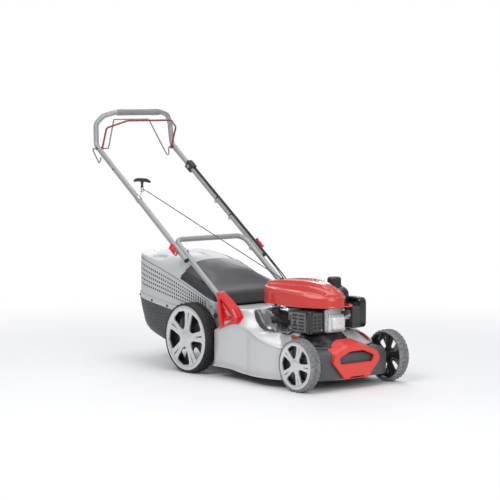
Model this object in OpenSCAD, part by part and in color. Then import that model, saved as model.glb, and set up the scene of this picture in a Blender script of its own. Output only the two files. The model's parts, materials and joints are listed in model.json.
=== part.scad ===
// Self-propelled petrol lawn mower with a grass box.
// +X is forward, +Y is the mower's left, +Z is up, and the wheels stand on z = 0.
// The origin lies on the ground below the middle of the overall box.

/* [Wheels] */
// Distance between the front and rear axles
wheelbase = 648; // [620:1:680]
// Outer radius of a front tyre
front_wheel_r = 100; // [92:1:104]
// Outer radius of a rear tyre
rear_wheel_r = 140; // [130:1:146]
// Width of a front wheel
front_wheel_w = 48; // [40:1:50]
// Width of a rear wheel
rear_wheel_w = 64; // [54:1:66]
// Half of the track to a front wheel's outer face
front_half_track = 249; // [247:1:256]
// Clearance between the handle's side plates and the rear wheels
rear_wheel_clear = 12.4; // [10:0.2:20]
// Height of the tyre's side wall over the rim
tyre_wall = 11; // [9:0.5:14]
// Diameter of the axles
axle_d = 14; // [12:0.5:16]

/* [Deck] */
// Thickness of the deck's sheet steel
sheet = 3; // [2.5:0.1:4]
// Inner radius of the round cutting chamber
chamber_r = 249; // [246:1:256]
// Distance of the crank axis behind the front axle
crank_back = 215; // [205:1:225]
// Half width of the flat side panels
panel_half_w = 240; // [236:1:244]
// Height of the rim above the ground
rim_z = 40; // [34:1:48]
// Height of the rear top of the deck
deck_top_z = 271; // [266:1:272]
// Height of the face that carries the engine
engine_face_z = 204; // [200:1:206]

/* [Blade and drive] */
// Tip to tip length of the blade
blade_l = 440; // [420:1:444]
// Width of the blade
blade_w = 54; // [44:1:60]
// Thickness of the blade
blade_t = 4; // [3:0.5:5]
// Height of the blade's underside
blade_z = 58; // [54:1:64]
// Diameter of the crankshaft
crank_d = 25; // [22:0.5:26]
// Outer diameter of the pulley on the crankshaft
crank_pulley_d = 52; // [46:1:58]
// Outer diameter of the gearbox pulley
gear_pulley_d = 84; // [78:1:88]
// Sideways place of the gearbox
gearbox_y = 118; // [114:1:122]

/* [Handle] */
// Outer diameter of the handle tubes
tube_d = 22; // [20:0.5:24]
// Wall of the handle tubes
tube_wall = 1.5; // [1.2:0.1:2]
// Half distance between the centre lines of the upper tubes
upper_half_w = 200; // [198:1:204]
// Slope of the upper tubes
handle_slope = 35; // [33:0.5:37]
// Length from the fold bolt to the bail pivot along the tube
upper_l = 707; // [680:1:720]
// Length from the fold bolt down to the bend of the lower handle
lower_l = 283; // [278:1:290]
// Height of the lower handle's pivot bolt
pivot_z = 236; // [232:1:240]
// Height of the grip bar above the bail pivot
grip_rise = 153; // [148:1:158]
// Half length of the straight grip bar
grip_half_l = 122; // [116:1:126]
// Diameter of the grip sleeve
grip_d = 27; // [25:0.5:29]
// Diameter of the brake bail's rod
brake_rod_d = 8; // [7:0.5:8.5]
// Diameter of the drive bail's wire
drive_wire_d = 6; // [5:0.5:6.5]

/* [Engine] */
// Length of the engine cowl
cowl_l = 408; // [400:1:410]
// Width of the engine cowl
cowl_w = 242; // [230:1:250]
// Height of the cowl's lower edge
cowl_z = 298; // [296:1:304]
// Height of the cowl's top
cowl_top_z = 392; // [388:1:404]
// Wall of the cowl
cowl_wall = 3; // [2.5:0.1:4]
// Diameter of the fuel cap
fuel_cap_d = 54; // [48:1:58]
// Diameter of the starter rope
rope_d = 4; // [3:0.5:5]
// Outer diameter of a control cable
cable_d = 5; // [4:0.5:6]

/* [Grass box] */
// Half width of the grass box
bag_half_w = 200; // [198:1:202]
// Wall of the grass box
bag_wall = 3; // [2.5:0.1:4]
// Clearance between the rear flap and the lower handle's legs
flap_clear = 13.6; // [10:0.2:24]
// Thickness of the rear flap
flap_wall = 4; // [3:0.5:5]

/* [Fits] */
// Radial clearance of a turning fit
fit_gap = 0.05; // [0.03:0.01:0.1]
// Clearance of plain neighbours that stay apart
gap = 0.3; // [0.2:0.05:0.6]

/* [Hidden] */
$fn = 48;

// Joints and axes
pivot_rel = -wheelbase + 106;
slope_dir = [-cos(handle_slope), 0, sin(handle_slope)];
slope_up = [sin(handle_slope), 0, cos(handle_slope)];
bend_rise = 70;
fold_rel = pivot_rel - lower_l * cos(handle_slope);
bail_rel = fold_rel - upper_l * cos(handle_slope);
drive_bail_back = 42;
drive_bail_rise = 122;
rear_rel = bail_rel - drive_bail_back - drive_wire_d / 2;
front_x = -(rear_rel + front_wheel_r) / 2;
rear_x = front_x - wheelbase;
crank_x = front_x - crank_back;
pivot_x = front_x + pivot_rel;
bend_z = pivot_z + bend_rise;
lower_half_w = upper_half_w - tube_d - 0.4;
fold_p = [front_x + fold_rel, 0, bend_z + lower_l * sin(handle_slope)];
bail_p = fold_p + upper_l * slope_dir;
bail_bore_r = drive_wire_d / 2 + fit_gap;
bolt_r = 4;
tilt_bolt_r = 4;
leg_flat_t = 8;
plate_in = lower_half_w + tube_d / 2 + 1;
plate_t = 6;
rear_half_track = plate_in + plate_t + rear_wheel_clear + rear_wheel_w;
flap_half_w = lower_half_w - leg_flat_t / 2 - flap_clear;
brake_y = upper_half_w - tube_d / 2 - 2 - brake_rod_d / 2;
drive_y = upper_half_w + tube_d / 2 + 5;

// Deck
deck_r = chamber_r + sheet;
deck_back_x = rear_x + 148;
neck_back_x = rear_x + 99;
neck_half_w = lower_half_w - 12.6;
ramp_x = deck_back_x + 40;
ramp_end_x = crank_x - 135;
notch_x = front_x - front_wheel_r - 4;
notch_half_w = front_half_track - front_wheel_w - 4.5;
shoulder_low = 144;
shoulder_high = 222;
ring_n = 44;

// Belt drive
belt_z = 158;
belt_h = 13;
belt_t = 5;
pulley_p = [rear_x + 34, gearbox_y];

// Engine
cyl_y = -16;
cyl_z = 252;
head_x = front_x - 42;
tank_cap_p = [front_x - 172, 98];
eyelet_p = [front_x - 317.5, -47.2, 390];
drum_r = 42;
drum_z = 345;
drum_h = 14;

cowl_rear_x = front_x - cowl_l;
cowl_c = front_x - cowl_l / 2;
case_r = 72;
case_top = 296;
filler_p0 = [crank_x - 28, -58, 216];
filler_p1 = [crank_x - 66, -112, 240];
tank_z = 330;

// Grass box
bag_front_x = rear_x + 90;
bag_rear_x = rear_x - 482;
bag_floor_z = 205;
bag_corner_z = 435;
bag_mouth_x = rear_x - 190;
flap_x = rear_x + 96;
flap_pin = [flap_x - 8, 0, 310];
flap_pin_r = 3;
flap_back_x = rear_x - 190;
chute_right = neck_half_w - 15;
chute_left = 36;
chute_top_z = 262;

// Starter rope and cable routes
grip_p = [-430, -170, 712];
rope_points = [[395, -20, 352], [372, -32, 364], [345, -45, 384], [200, -69, 446], [0, -101, 531],
    [-200, -133, 617], [-400, -166, 703], [-429, -170, 710]];
function beside(t, y) = fold_p + t * slope_dir + (tube_d / 2 + 3.6) * slope_up + [0, upper_half_w + y, 0];
brake_cable_points = [beside(540, 3), beside(370, 3), beside(200, 3), beside(29, 3), beside(-69, 2),
    beside(-167, 2), beside(-240, -3), [crank_x - 304, upper_half_w - 14, 320],
    [crank_x - 254, upper_half_w - 36, 318], [crank_x - 204, 138, 318], [crank_x - 164, 116, 308],
    [crank_x - 132, 102, 291], [crank_x - 102, 86, 284], [crank_x - 75, 69, 283]];
drive_cable_points = [beside(540, -4), beside(370, -4), beside(200, -4), beside(29, -4), beside(-69, -5),
    beside(-167, -6), beside(-221, -10), [pivot_x - 9, neck_half_w + 16, 336], [pivot_x + 17, neck_half_w + 8, 308],
    [pivot_x + 20, neck_half_w + 4, 270], [pivot_x + 17, neck_half_w + 4, 235], [pivot_x + 5, neck_half_w + 6, 208],
    [pivot_x - 10, neck_half_w + 7, 190], [pivot_x - 25, neck_half_w + 7, 165], [rear_x + 59, gearbox_y + 48, 146],
    [rear_x + 39, gearbox_y + 40, 136], [rear_x + 21, gearbox_y + 31, 133]];

// Helpers
function unit(v) = v / norm(v);
function lerp(a, b, t) = a + (b - a) * t;
function smooth(t) = t <= 0 ? 0 : t >= 1 ? 1 : t * t * (3 - 2 * t);
function flat(list) = [for (row = list) each row];
function sgn_pow(v, e) = sign(v) * pow(abs(v), e);
function mirror_y(points) = [for (i = [len(points) - 1:-1:0]) [points[i][0], -points[i][1], points[i][2]]];

// Faces of a stack of m rings with n points each, the first ring lowest, seen from outside
function wall_faces(n, m, base, flip) = [for (l = [0:m - 2]) for (i = [0:n - 1])
    let(a = base + l * n + i, b = base + l * n + (i + 1) % n)
    for (f = flip ? [[a, a + n, b], [b, a + n, b + n]] : [[a, b, a + n], [b, b + n, a + n]]) [f[0], f[2], f[1]]];
function fan(n, base, centre, flip) = [for (i = [0:n - 1])
    flip ? [base + i, base + (i + 1) % n, centre] : [base + (i + 1) % n, base + i, centre]];

// Closed solid through a stack of rings, capped by fans to the two centre points
module loft(rings, low_centre, high_centre) {
    n = len(rings[0]);
    m = len(rings);
    polyhedron(
        points = concat(flat(rings), [low_centre, high_centre]),
        faces = concat(wall_faces(n, m, 0, false), fan(n, 0, n * m, true), fan(n, n * (m - 1), n * m + 1, false)),
        convexity = 6);
}

// Shell between an outer and an inner stack of rings, open below and capped above
module shell(outer, inner, outer_top, inner_top) {
    n = len(outer[0]);
    m = len(outer);
    k = n * m;
    rim = [for (i = [0:n - 1]) for (f = [[i, k + i, (i + 1) % n], [(i + 1) % n, k + i, k + (i + 1) % n]])
        [f[0], f[2], f[1]]];
    polyhedron(
        points = concat(flat(outer), flat(inner), [outer_top, inner_top]),
        faces = concat(wall_faces(n, m, 0, false), fan(n, n * (m - 1), 2 * k, false),
            wall_faces(n, m, k, true), fan(n, k + n * (m - 1), 2 * k + 1, true), rim),
        convexity = 10);
}

// Places children so that their +Z runs from a towards b
module along(a, b) {
    z = unit(b - a);
    x = abs(z[2]) > 0.999 ? [1, 0, 0] : unit(cross([0, 0, 1], z));
    y = cross(z, x);
    multmatrix([[x[0], y[0], z[0], a[0]], [x[1], y[1], z[1], a[1]], [x[2], y[2], z[2], a[2]], [0, 0, 0, 1]])
        children();
}

module rod(a, b, r) {
    along(a, b) cylinder(r = r, h = norm(b - a));
}

// Section of a tube, or of a rod where the wall is 0
module section(r, wall) {
    if (wall > 0) {
        difference() {
            circle(r);
            circle(r - wall);
        }
    } else {
        circle(r);
    }
}

// Tube along a polyline whose corners are rounded by bends of radius bend. The straight lengths
// reach into the bends, which are thicker by a hair, so that all lengths join as one solid.
module bent_tube(p, r, wall, bend) {
    last = len(p) - 1;
    reach = 0.5;
    swell = 0.05;
    turn = [for (i = [0:last]) i == 0 || i == last ? 0 :
        acos(min(1, unit(p[i] - p[i - 1]) * unit(p[i + 1] - p[i])))];
    cut = [for (i = [0:last]) bend * tan(turn[i] / 2)];
    for (i = [0:last - 1]) {
        d = unit(p[i + 1] - p[i]);
        a = p[i] + d * (cut[i] - (i == 0 ? 0 : reach));
        b = p[i + 1] - d * (cut[i + 1] - (i == last - 1 ? 0 : reach));
        along(a, b) linear_extrude(norm(b - a)) section(r, wall);
    }
    for (i = [1:1:last - 1]) {
        u = unit(p[i - 1] - p[i]);
        v = unit(p[i + 1] - p[i]);
        centre = p[i] + unit(u + v) * bend / cos(turn[i] / 2);
        x = unit(p[i] + u * cut[i] - centre);
        y = -u;
        z = cross(x, y);
        multmatrix([[x[0], y[0], z[0], centre[0]], [x[1], y[1], z[1], centre[1]],
            [x[2], y[2], z[2], centre[2]], [0, 0, 0, 1]])
            rotate_extrude(angle = turn[i]) translate([bend, 0])
                section(r + swell, wall > 0 ? wall + 2 * swell : 0);
    }
}

// Cord of n sides swept along its route
module cord(p, r, n) {
    last = len(p) - 1;
    rings = [for (i = [0:last])
        let(d = unit(p[min(i + 1, last)] - p[max(i - 1, 0)]),
            x = unit(cross([0, 0, 1], d)),
            y = cross(d, x))
        [for (k = [0:n - 1]) p[i] + r * (cos(360 * k / n) * x + sin(360 * k / n) * y)]];
    loft(rings, p[0], p[last]);
}

module mirrored() {
    children();
    mirror([0, 1, 0]) children();
}

module y_rod(p, r, y1, y2) {
    translate([p[0], y1, p[2]]) rotate([-90, 0, 0]) cylinder(r = r, h = y2 - y1);
}

// Cutting deck
function chamber_hit(c, a, r) = let(b = (crank_x - c) * cos(a), q = b * b - pow(crank_x - c, 2) + r * r)
    q < 0 ? 0 : b + sqrt(q);
function box_hit(c, a, x_low, half_w) = min(
    cos(a) < -0.0001 ? (x_low - c) / cos(a) : 10000,
    abs(sin(a)) > 0.0001 ? half_w / abs(sin(a)) : 10000,
    cos(a) > 0.0001 ? (crank_x - c) / cos(a) : 10000);
function notch_hit(a, c, inset) = cos(a) <= 0.0001 || abs(sin(a)) < 0.0001 ? 10000 :
    max((notch_half_w - inset) / abs(sin(a)), (notch_x - inset - c) / cos(a));
function deck_reach(a, c, inset) = min(notch_hit(a, c, inset), max(
    chamber_hit(c, a, deck_r - inset),
    box_hit(c, a, deck_back_x + inset, panel_half_w - inset),
    box_hit(c, a, neck_back_x + inset, neck_half_w - inset)));
deck_c = crank_x - 110;
function shoulder_z(x) = shoulder_low
    + (shoulder_high - shoulder_low) * (1 - smooth((x - crank_x + 148) / 150))
    - 30 * smooth((deck_back_x + 130 - x) / 130);
function deck_rim(x) = rim_z + 4 - 10 * smooth((x - deck_back_x - 90) / 110);
function deck_top(x) = lerp(deck_top_z, engine_face_z, smooth((x - ramp_x) / (ramp_end_x - ramp_x)));
function deck_inset(x, back, front) = lerp(back, front, smooth((x - deck_back_x - 10) / 190));
function deck_ring(back, front, draft, height, drop) = [for (i = [0:ring_n - 1])
    let(a = 360 * i / ring_n,
        edge_x = deck_c + deck_reach(a, deck_c, 0) * cos(a),
        r = deck_reach(a, deck_c, deck_inset(edge_x, back, front) + draft),
        x = deck_c + r * cos(a),
        z = height < 0 ? deck_rim(x) : lerp(shoulder_z(x), deck_top(x), height) - drop)
    [x, r * sin(a), z]];
function deck_stack(wall) = [deck_ring(0, 0, wall, -1, 0), deck_ring(0, 0, wall, 0, 10 + wall),
    deck_ring(3, 4, wall, 0, wall), deck_ring(9, 14, wall, 0.12, wall), deck_ring(22, 62, wall, 0.55, wall),
    deck_ring(36, 96, wall, 1, wall)];

// Deck as a solid grown by a clearance, for cutting what sits on it
module deck_form(grow) {
    loft(deck_stack(-grow), [deck_c, 0, rim_z], [deck_c, 0, deck_top(deck_c) + grow]);
}

module deck_shell() {
    color("silver") difference() {
        shell(deck_stack(0), deck_stack(sheet), [deck_c, 0, deck_top(deck_c)],
            [deck_c, 0, deck_top(deck_c) - sheet]);
        // Crankshaft
        translate([crank_x, 0, 0]) cylinder(r = crank_d / 2 + 6, h = 400);
        // Discharge outlet
        translate([rear_x, -chute_right + 2, 96]) cube([170, chute_right + chute_left - 4, 158]);
        // Belt outlet
        translate([rear_x + 60, chute_left + 6, belt_z - 5]) cube([110, neck_half_w - chute_left - 14, belt_h + 10]);
        // Engine studs
        for (a = [45:90:315])
            translate([crank_x + 52 * cos(a), 52 * sin(a), 150]) cylinder(r = 4, h = 100);
    }
}

// Black front cover, and the red carrying handle with its two side arms
apron_c = front_x - 40;
apron_back = 5;
apron_front = 98;
apron_half_w = front_half_track - front_wheel_w - 8;
function apron_ring(inset, z) = [for (i = [0:ring_n - 1])
    let(a = 360 * i / ring_n, reach = cos(a) > 0 ? apron_front : apron_back)
    [apron_c + max(reach - inset, 1) * sgn_pow(cos(a), 0.4), (apron_half_w - inset) * sgn_pow(sin(a), 0.4), z]];
function apron_stack(wall) = [apron_ring(4 + wall, rim_z - 1 - wall), apron_ring(wall, rim_z + 40),
    apron_ring(3 + wall, 128), apron_ring(12 + wall, 140 - wall), apron_ring(44 + wall, 150 - wall)];
module front_apron() {
    color([0.16, 0.16, 0.17]) difference() {
        loft(apron_stack(0), [apron_c, 0, rim_z - 1], [apron_c, 0, 152]);
        loft(apron_stack(4), [apron_c, 0, rim_z - 5], [apron_c, 0, 148]);
        translate([crank_x, 0, 0]) cylinder(r = deck_r + 1, h = 400);
        y_rod([front_x, 0, front_wheel_r], axle_d / 2, -300, 300);
        // Finger room behind the carrying plate
        translate([handle_x - 14, -92, 95]) cube([30, 184, 50]);
    }
}

handle_x = apron_c + apron_front;
module handle_outline() {
    polygon([[-60, 40], [60, 40], [118, 104], [106, 136], [36, 160], [-36, 160], [-106, 136], [-118, 104]]);
}
module carry_handle() {
    color([0.85, 0.1, 0.12]) {
        translate([handle_x, 0, 0]) difference() {
            rotate([90, 0, 90]) linear_extrude(16) handle_outline();
            rotate([90, 0, 90]) translate([0, 0, -1]) linear_extrude(18)
                polygon([[-78, 98], [78, 98], [86, 122], [34, 143], [-34, 143], [-86, 122]]);
        }
        difference() {
            for (s = [-1, 1])
                bent_tube([[front_x - 130, s * 150, 194], [front_x - 50, s * 150, 168],
                    [front_x - 8, s * 150, 154]], 6, 0, 60);
            deck_form(gap);
            loft(apron_stack(-gap), [apron_c, 0, rim_z - 1 - gap], [apron_c, 0, 152 + gap]);
        }
    }
}

module front_axle() {
    color("gray") {
        mirrored() {
            y_rod([front_x, 0, front_wheel_r], axle_d / 2, apron_half_w - 30, front_half_track - 12);
            y_rod([front_x, 0, front_wheel_r], axle_d / 2 + 6, apron_half_w - 24, apron_half_w - 16);
        }
    }
}

// Red covers over the handle's seats
module handle_brackets() {
    y0 = plate_in + plate_t + gap;
    color([0.85, 0.1, 0.12]) difference() {
        mirrored() translate([0, y0 + 40, 0]) rotate([90, 0, 0]) difference() {
            linear_extrude(40) polygon([[rear_x + 150, 196], [rear_x + 190, 186], [rear_x + 240, 214],
                [rear_x + 289, 222], [rear_x + 284, 246], [rear_x + 258, 277], [rear_x + 212, 306],
                [rear_x + 151, 338]]);
            translate([0, 0, -1]) linear_extrude(13) polygon([[rear_x + 178, 232], [rear_x + 220, 240],
                [rear_x + 246, 244], [rear_x + 205, 286], [rear_x + 172, 300]]);
        }
        deck_form(gap);
    }
}

// Steel side plates that hold the rear axle and the handle's pivots
module handle_lugs() {
    color([0.45, 0.46, 0.48]) difference() {
        mirrored() translate([0, plate_in + plate_t, 0]) rotate([90, 0, 0]) linear_extrude(plate_t)
            polygon([[rear_x - 18, 122], [rear_x + 20, 120], [deck_back_x - gap, 160], [deck_back_x - gap, 238],
                [rear_x + 200, 246], [rear_x + 200, 282], [rear_x + 150, 300], [pivot_x + 14, pivot_z + 26],
                [pivot_x - 18, pivot_z + 20], [pivot_x - 18, pivot_z - 22], [rear_x + 84, 190],
                [rear_x + 16, 162], [rear_x - 18, 160]]);
        deck_form(gap);
        y_rod([rear_x, 0, rear_wheel_r], axle_d / 2 + fit_gap, -300, 300);
        y_rod([pivot_x, 0, pivot_z], tilt_bolt_r, -300, 300);
    }
}

// Pivot bolts of the lower handle, with spacers and nuts, and the flap's hinge rod
module pivot_pins() {
    y1 = lower_half_w - leg_flat_t / 2 - gap;
    y2 = lower_half_w + leg_flat_t / 2 + gap;
    p = [pivot_x, 0, pivot_z];
    color([0.12, 0.12, 0.13]) {
        mirrored() {
            y_rod(p, 8, y1 - 5, y1);
            y_rod(p, tilt_bolt_r, y1 - 1, plate_in + plate_t + 9);
            y_rod(p, 7, y2, plate_in);
            y_rod(p, 9, plate_in + plate_t, plate_in + plate_t + 8);
        }
        y_rod(flap_pin, flap_pin_r, -flap_half_w - 6.4, flap_half_w + 6.4);
    }
}

// Plastic outlet between the deck and the grass box, with the flap's ears and the box's rails
module discharge_chute() {
    x0 = rear_x + 22;
    x1 = neck_back_x - 1;
    w = 3;
    color([0.13, 0.13, 0.14]) {
        translate([0, chute_left - w, 0]) rotate([90, 0, 0]) linear_extrude(chute_right + chute_left - 2 * w)
            polygon([[x0, 210], [x0 + 36, 210], [deck_back_x + 20, 112], [deck_back_x + 20, 118],
                [x0 + 40, 214], [x0, 214]]);
        for (y = [-chute_right, chute_left - w]) translate([0, y + w, 0]) rotate([90, 0, 0]) linear_extrude(w)
            polygon([[x0, 210], [x0 + 36, 210], [x1, 163], [x1, chute_top_z], [x0, chute_top_z]]);
        translate([x0 + 18, -bag_half_w + bag_wall + 9, chute_top_z])
            cube([25, 2 * (bag_half_w - bag_wall - 9), 5]);
        for (s = [-1, 1]) difference() {
            translate([0, s * (flap_half_w + 2.8) + 1.6, 0]) rotate([90, 0, 0]) linear_extrude(3.2)
                polygon([[x0 + 40, chute_top_z + 1], [x0 + 66, chute_top_z + 1], [flap_pin[0] + 8, flap_pin[2]],
                    [flap_pin[0] + 2, flap_pin[2] + 7], [flap_pin[0] - 5, flap_pin[2] + 6],
                    [flap_pin[0] - 8, flap_pin[2]]]);
            y_rod(flap_pin, flap_pin_r, -400, 400);
        }
    }
}

// Gearbox on the rear axle with its input pulley, and the belt from the crankshaft
module gearbox() {
    color("silver") difference() {
        union() {
            translate([rear_x - 24, gearbox_y - 28, rear_wheel_r - 26]) cube([84, 56, 38]);
            y_rod([rear_x, 0, rear_wheel_r], 14, gearbox_y - 34, gearbox_y + 30);
        }
        y_rod([rear_x, 0, rear_wheel_r], axle_d / 2 + fit_gap, -300, 300);
        translate([pulley_p[0], pulley_p[1], rear_wheel_r - 12]) cylinder(r = 6 + fit_gap, h = 60);
    }
}

module pulley(p, d, bore_r) {
    translate([p[0], p[1], belt_z - 2]) difference() {
        union() {
            cylinder(r = d / 2, h = belt_h + 4);
            cylinder(r = d / 2 + belt_t - 1, h = 2 - gap);
            translate([0, 0, belt_h + 2 + gap]) cylinder(r = d / 2 + belt_t - 1, h = 2 - gap);
        }
        translate([0, 0, -1]) cylinder(r = bore_r, h = belt_h + 6);
    }
}

module gearbox_pulley() {
    color([0.35, 0.35, 0.37]) {
        pulley(pulley_p, gear_pulley_d, 6);
        translate([pulley_p[0], pulley_p[1], rear_wheel_r - 10]) cylinder(r = 6, h = belt_z + belt_h - rear_wheel_r + 14);
    }
}

module drive_belt() {
    color([0.08, 0.08, 0.08]) translate([0, 0, belt_z]) linear_extrude(belt_h) difference() {
        hull() {
            translate(pulley_p) circle(gear_pulley_d / 2 + belt_t);
            translate([crank_x, 0]) circle(crank_pulley_d / 2 + belt_t);
        }
        hull() {
            translate(pulley_p) circle(gear_pulley_d / 2 + gap);
            translate([crank_x, 0]) circle(crank_pulley_d / 2 + gap);
        }
    }
}

// Engine
module engine_block() {
    post_z = cowl_z - 10;
    side_l = cowl_w / 2 - 41;
    color([0.7, 0.71, 0.72]) difference() {
        union() {
            translate([crank_x, 0, engine_face_z]) cylinder(r = case_r + 8, h = 10);
            translate([crank_x, 0, engine_face_z]) cylinder(r = case_r, h = case_top - engine_face_z);
            // Posts that carry the cowl and the tank
            translate([crank_x - 9, 40 - cowl_w / 2 - 39, post_z]) cube([18, side_l, 10]);
            translate([crank_x - 9, 40, post_z]) cube([18, side_l, 10]);
            translate([crank_x - 9, 90, post_z]) cube([18, 20, tank_z - post_z]);
            translate([cowl_rear_x + 1, -9, post_z]) cube([crank_x - cowl_rear_x - 50, 18, 10]);
            // Brake arm
            translate([crank_x, 0, 276]) rotate([0, 0, 138]) translate([60, -7, 0]) cube([41, 14, 13]);
            // Studs
            for (a = [45:90:315]) translate([crank_x + 52 * cos(a), 52 * sin(a), engine_face_z - 12]) {
                cylinder(r = 4, h = 14);
                translate([0, 0, 3]) cylinder(r = 8, h = 9 - sheet);
            }
        }
        translate([crank_x, 0, engine_face_z + 8]) cylinder(r = case_r - 8, h = case_top - engine_face_z - 16);
        translate([crank_x, 0, 0]) cylinder(r = crank_d / 2 + fit_gap, h = 400);
        along(filler_p0, filler_p1) cylinder(r = 9, h = 60);
    }
}

module round_rect(x, y, r) {
    square([x - 2 * r, y], center = true);
    square([x, y - 2 * r], center = true);
    for (i = [-1, 1]) for (j = [-1, 1]) translate([i * (x / 2 - r), j * (y / 2 - r)]) circle(r);
}

// Block with rounded upright edges between two corners
module round_box(a, b, r) {
    translate([(a[0] + b[0]) / 2, (a[1] + b[1]) / 2, a[2]]) linear_extrude(b[2] - a[2])
        round_rect(b[0] - a[0], b[1] - a[1], r);
}

// Plate across the X axis, rounded as seen from the front
module front_plate(x1, x2, y1, y2, z1, z2, r) {
    translate([x1, (y1 + y2) / 2, (z1 + z2) / 2]) rotate([90, 0, 90]) linear_extrude(x2 - x1)
        round_rect(y2 - y1, z2 - z1, r);
}

module engine_cylinder() {
    x0 = crank_x + case_r - 22;
    color([0.3, 0.31, 0.32]) difference() {
        union() {
            for (i = [0:7])
                front_plate(head_x - 22 - i * 9, head_x - 18 - i * 9, cyl_y - 44, cyl_y + 44, engine_face_z + 3,
                    engine_face_z + 91, 8);
            translate([x0, cyl_y - 30, cyl_z - 32]) cube([head_x - x0, 60, 64]);
            front_plate(head_x - 10, head_x, cyl_y - 44, cyl_y + 56, engine_face_z - 2, engine_face_z + 92, 10);
        }
        translate([crank_x, 0, 0]) cylinder(r = case_r, h = 400);
        translate([x0 - 1, cyl_y, cyl_z]) rotate([0, 90, 0]) cylinder(r = 24, h = head_x - x0 - 12);
        translate([crank_x, 0, 0]) cylinder(r = case_r + 9, h = engine_face_z + 10.5);
    }
}

module valve_cover() {
    color([0.85, 0.86, 0.87]) {
        front_plate(head_x, head_x + 6, cyl_y - 30, cyl_y + 42, 207, 270, 10);
        front_plate(head_x + 6, head_x + 26, cyl_y - 25, cyl_y + 37, 211, 266, 12);
        for (y = [cyl_y - 24, cyl_y + 36]) for (z = [213, 264])
            translate([head_x + 6, y, z]) rotate([0, 90, 0]) cylinder(r = 5, h = 5);
    }
}

module muffler() {
    color([0.4, 0.38, 0.36]) {
        translate([crank_x + 58, cyl_y - 79, 246]) rotate([0, 90, 0]) cylinder(r = 26, h = 94);
        y_rod([head_x - 42, 0, 246], 12, cyl_y - 60, cyl_y - 44);
    }
}

module muffler_guard() {
    x1 = crank_x + 47;
    x2 = head_x - 11;
    y1 = cyl_y - 114;
    y2 = cyl_y - 44;
    color([0.1, 0.1, 0.1]) difference() {
        round_box([x1, y1, 206], [x2, y2 + 16, 288], 14);
        round_box([x1 + 2.5, y1 + 2.5, 205], [x2 - 2.5, y2 + 30, 285.5], 11.5);
        translate([x1 - 1, y2, 200]) cube([400, 100, 100]);
        for (x = [x1 + 14, x1 + 52]) for (i = [0:4])
            translate([x, y1 - 1, 212 + i * 13]) cube([30, 5, 6]);
        for (y = [y1 + 20, y1 + 42]) for (i = [0:3])
            translate([x2 - 4, y, 219 + i * 13]) cube([6, 15, 6]);
        translate([crank_x, 0, 0]) cylinder(r = case_r + 9, h = 400);
    }
}

module tank_plan(inset) {
    polygon([[crank_x - 44 + inset, 60 + inset], [crank_x - 10, 51 + inset], [crank_x + 76, 51 + inset],
        [crank_x + 90 - inset, 66], [crank_x + 80 - inset, 92 - inset], [crank_x + 20, 105 - inset],
        [crank_x - 36 + inset, 103 - inset]]);
}
module fuel_tank() {
    p = [tank_cap_p[0], tank_cap_p[1], tank_z + 22];
    color([0.12, 0.12, 0.12]) difference() {
        union() {
            translate([0, 0, tank_z]) linear_extrude(24) tank_plan(0);
            translate(p) cylinder(r = 20, h = 30);
        }
        translate([0, 0, tank_z + 2]) linear_extrude(20) tank_plan(2);
        translate(p) translate([0, 0, -5]) cylinder(r = 17, h = 50);
    }
}

module fuel_cap() {
    z = tank_z + 38;
    color([0.07, 0.07, 0.07]) translate([tank_cap_p[0], tank_cap_p[1], z]) difference() {
        union() {
            cylinder(r = fuel_cap_d / 2, h = 26);
            translate([0, 0, 26]) cylinder(r1 = fuel_cap_d / 2, r2 = fuel_cap_d / 2 - 4, h = 4);
        }
        translate([0, 0, -1]) cylinder(r = 20 + fit_gap, h = 15 + gap);
        for (a = [0:30:330]) rotate([0, 0, a]) translate([fuel_cap_d / 2 + 1.5, 0, -1]) cylinder(r = 3, h = 22);
    }
}

module air_cleaner() {
    color([0.2, 0.2, 0.21]) {
        round_box([crank_x + 60, 84, 210], [crank_x + 166, 124, 293], 8);
        round_box([crank_x + 62, 124, 208], [crank_x + 164, 158, 324], 14);
    }
}

module carburettor() {
    color([0.6, 0.6, 0.62]) {
        round_box([head_x - 64, cyl_y + 44, 242], [head_x - 20, 84, 282], 6);
        translate([head_x - 42, 62, 224]) cylinder(r = 15, h = 18);
    }
}

// Top of the cowl along its middle line
function cowl_top(x) = cowl_top_z - (x < cowl_c ? 0.0003 : 0.0012) * pow(x - cowl_c, 2);
function cowl_ring(inset, z, drop) = [for (i = [0:ring_n - 1])
    let(a = 360 * i / ring_n,
        e = cos(a) > 0 ? 0.9 : 0.67,
        x = cowl_c + (cowl_l / 2 - inset) * sgn_pow(cos(a), e),
        y = (cowl_w / 2 - inset * 0.8) * sgn_pow(sin(a), e))
    [x, y, z > 0 ? z : drop > 0 ? cowl_top(x) - drop : (cowl_z + cowl_top(x) - 37) / 2]];
function cowl_stack(wall) = [cowl_ring(wall, cowl_z, 0), cowl_ring(3 + wall, 0, 0),
    cowl_ring(10 + wall, 0, 37 + wall), cowl_ring(20 + wall, 0, 20 + wall), cowl_ring(38 + wall, 0, 9 + wall),
    cowl_ring(70 + wall, 0, 3 + wall)];
module cowl() {
    color([0.8, 0.06, 0.1]) {
        difference() {
            shell(cowl_stack(0), cowl_stack(cowl_wall), [cowl_c, 0, cowl_top_z],
                [cowl_c, 0, cowl_top_z - cowl_wall]);
            translate([tank_cap_p[0], tank_cap_p[1], tank_z + 6]) cylinder(r = fuel_cap_d / 2 + 3, h = 100);
            translate(eyelet_p) rotate([0, -45, 0]) translate([0, 0, -40]) cylinder(r = 9, h = 80);
        }
        translate([crank_x, 0, drum_z - drum_h / 2 - 3]) cylinder(r = 8, h = cowl_top_z - drum_z + 7);
        translate([crank_x, 0, drum_z - drum_h / 2 - 3 - 3]) cylinder(r = 11, h = 3);
    }
}

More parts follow.
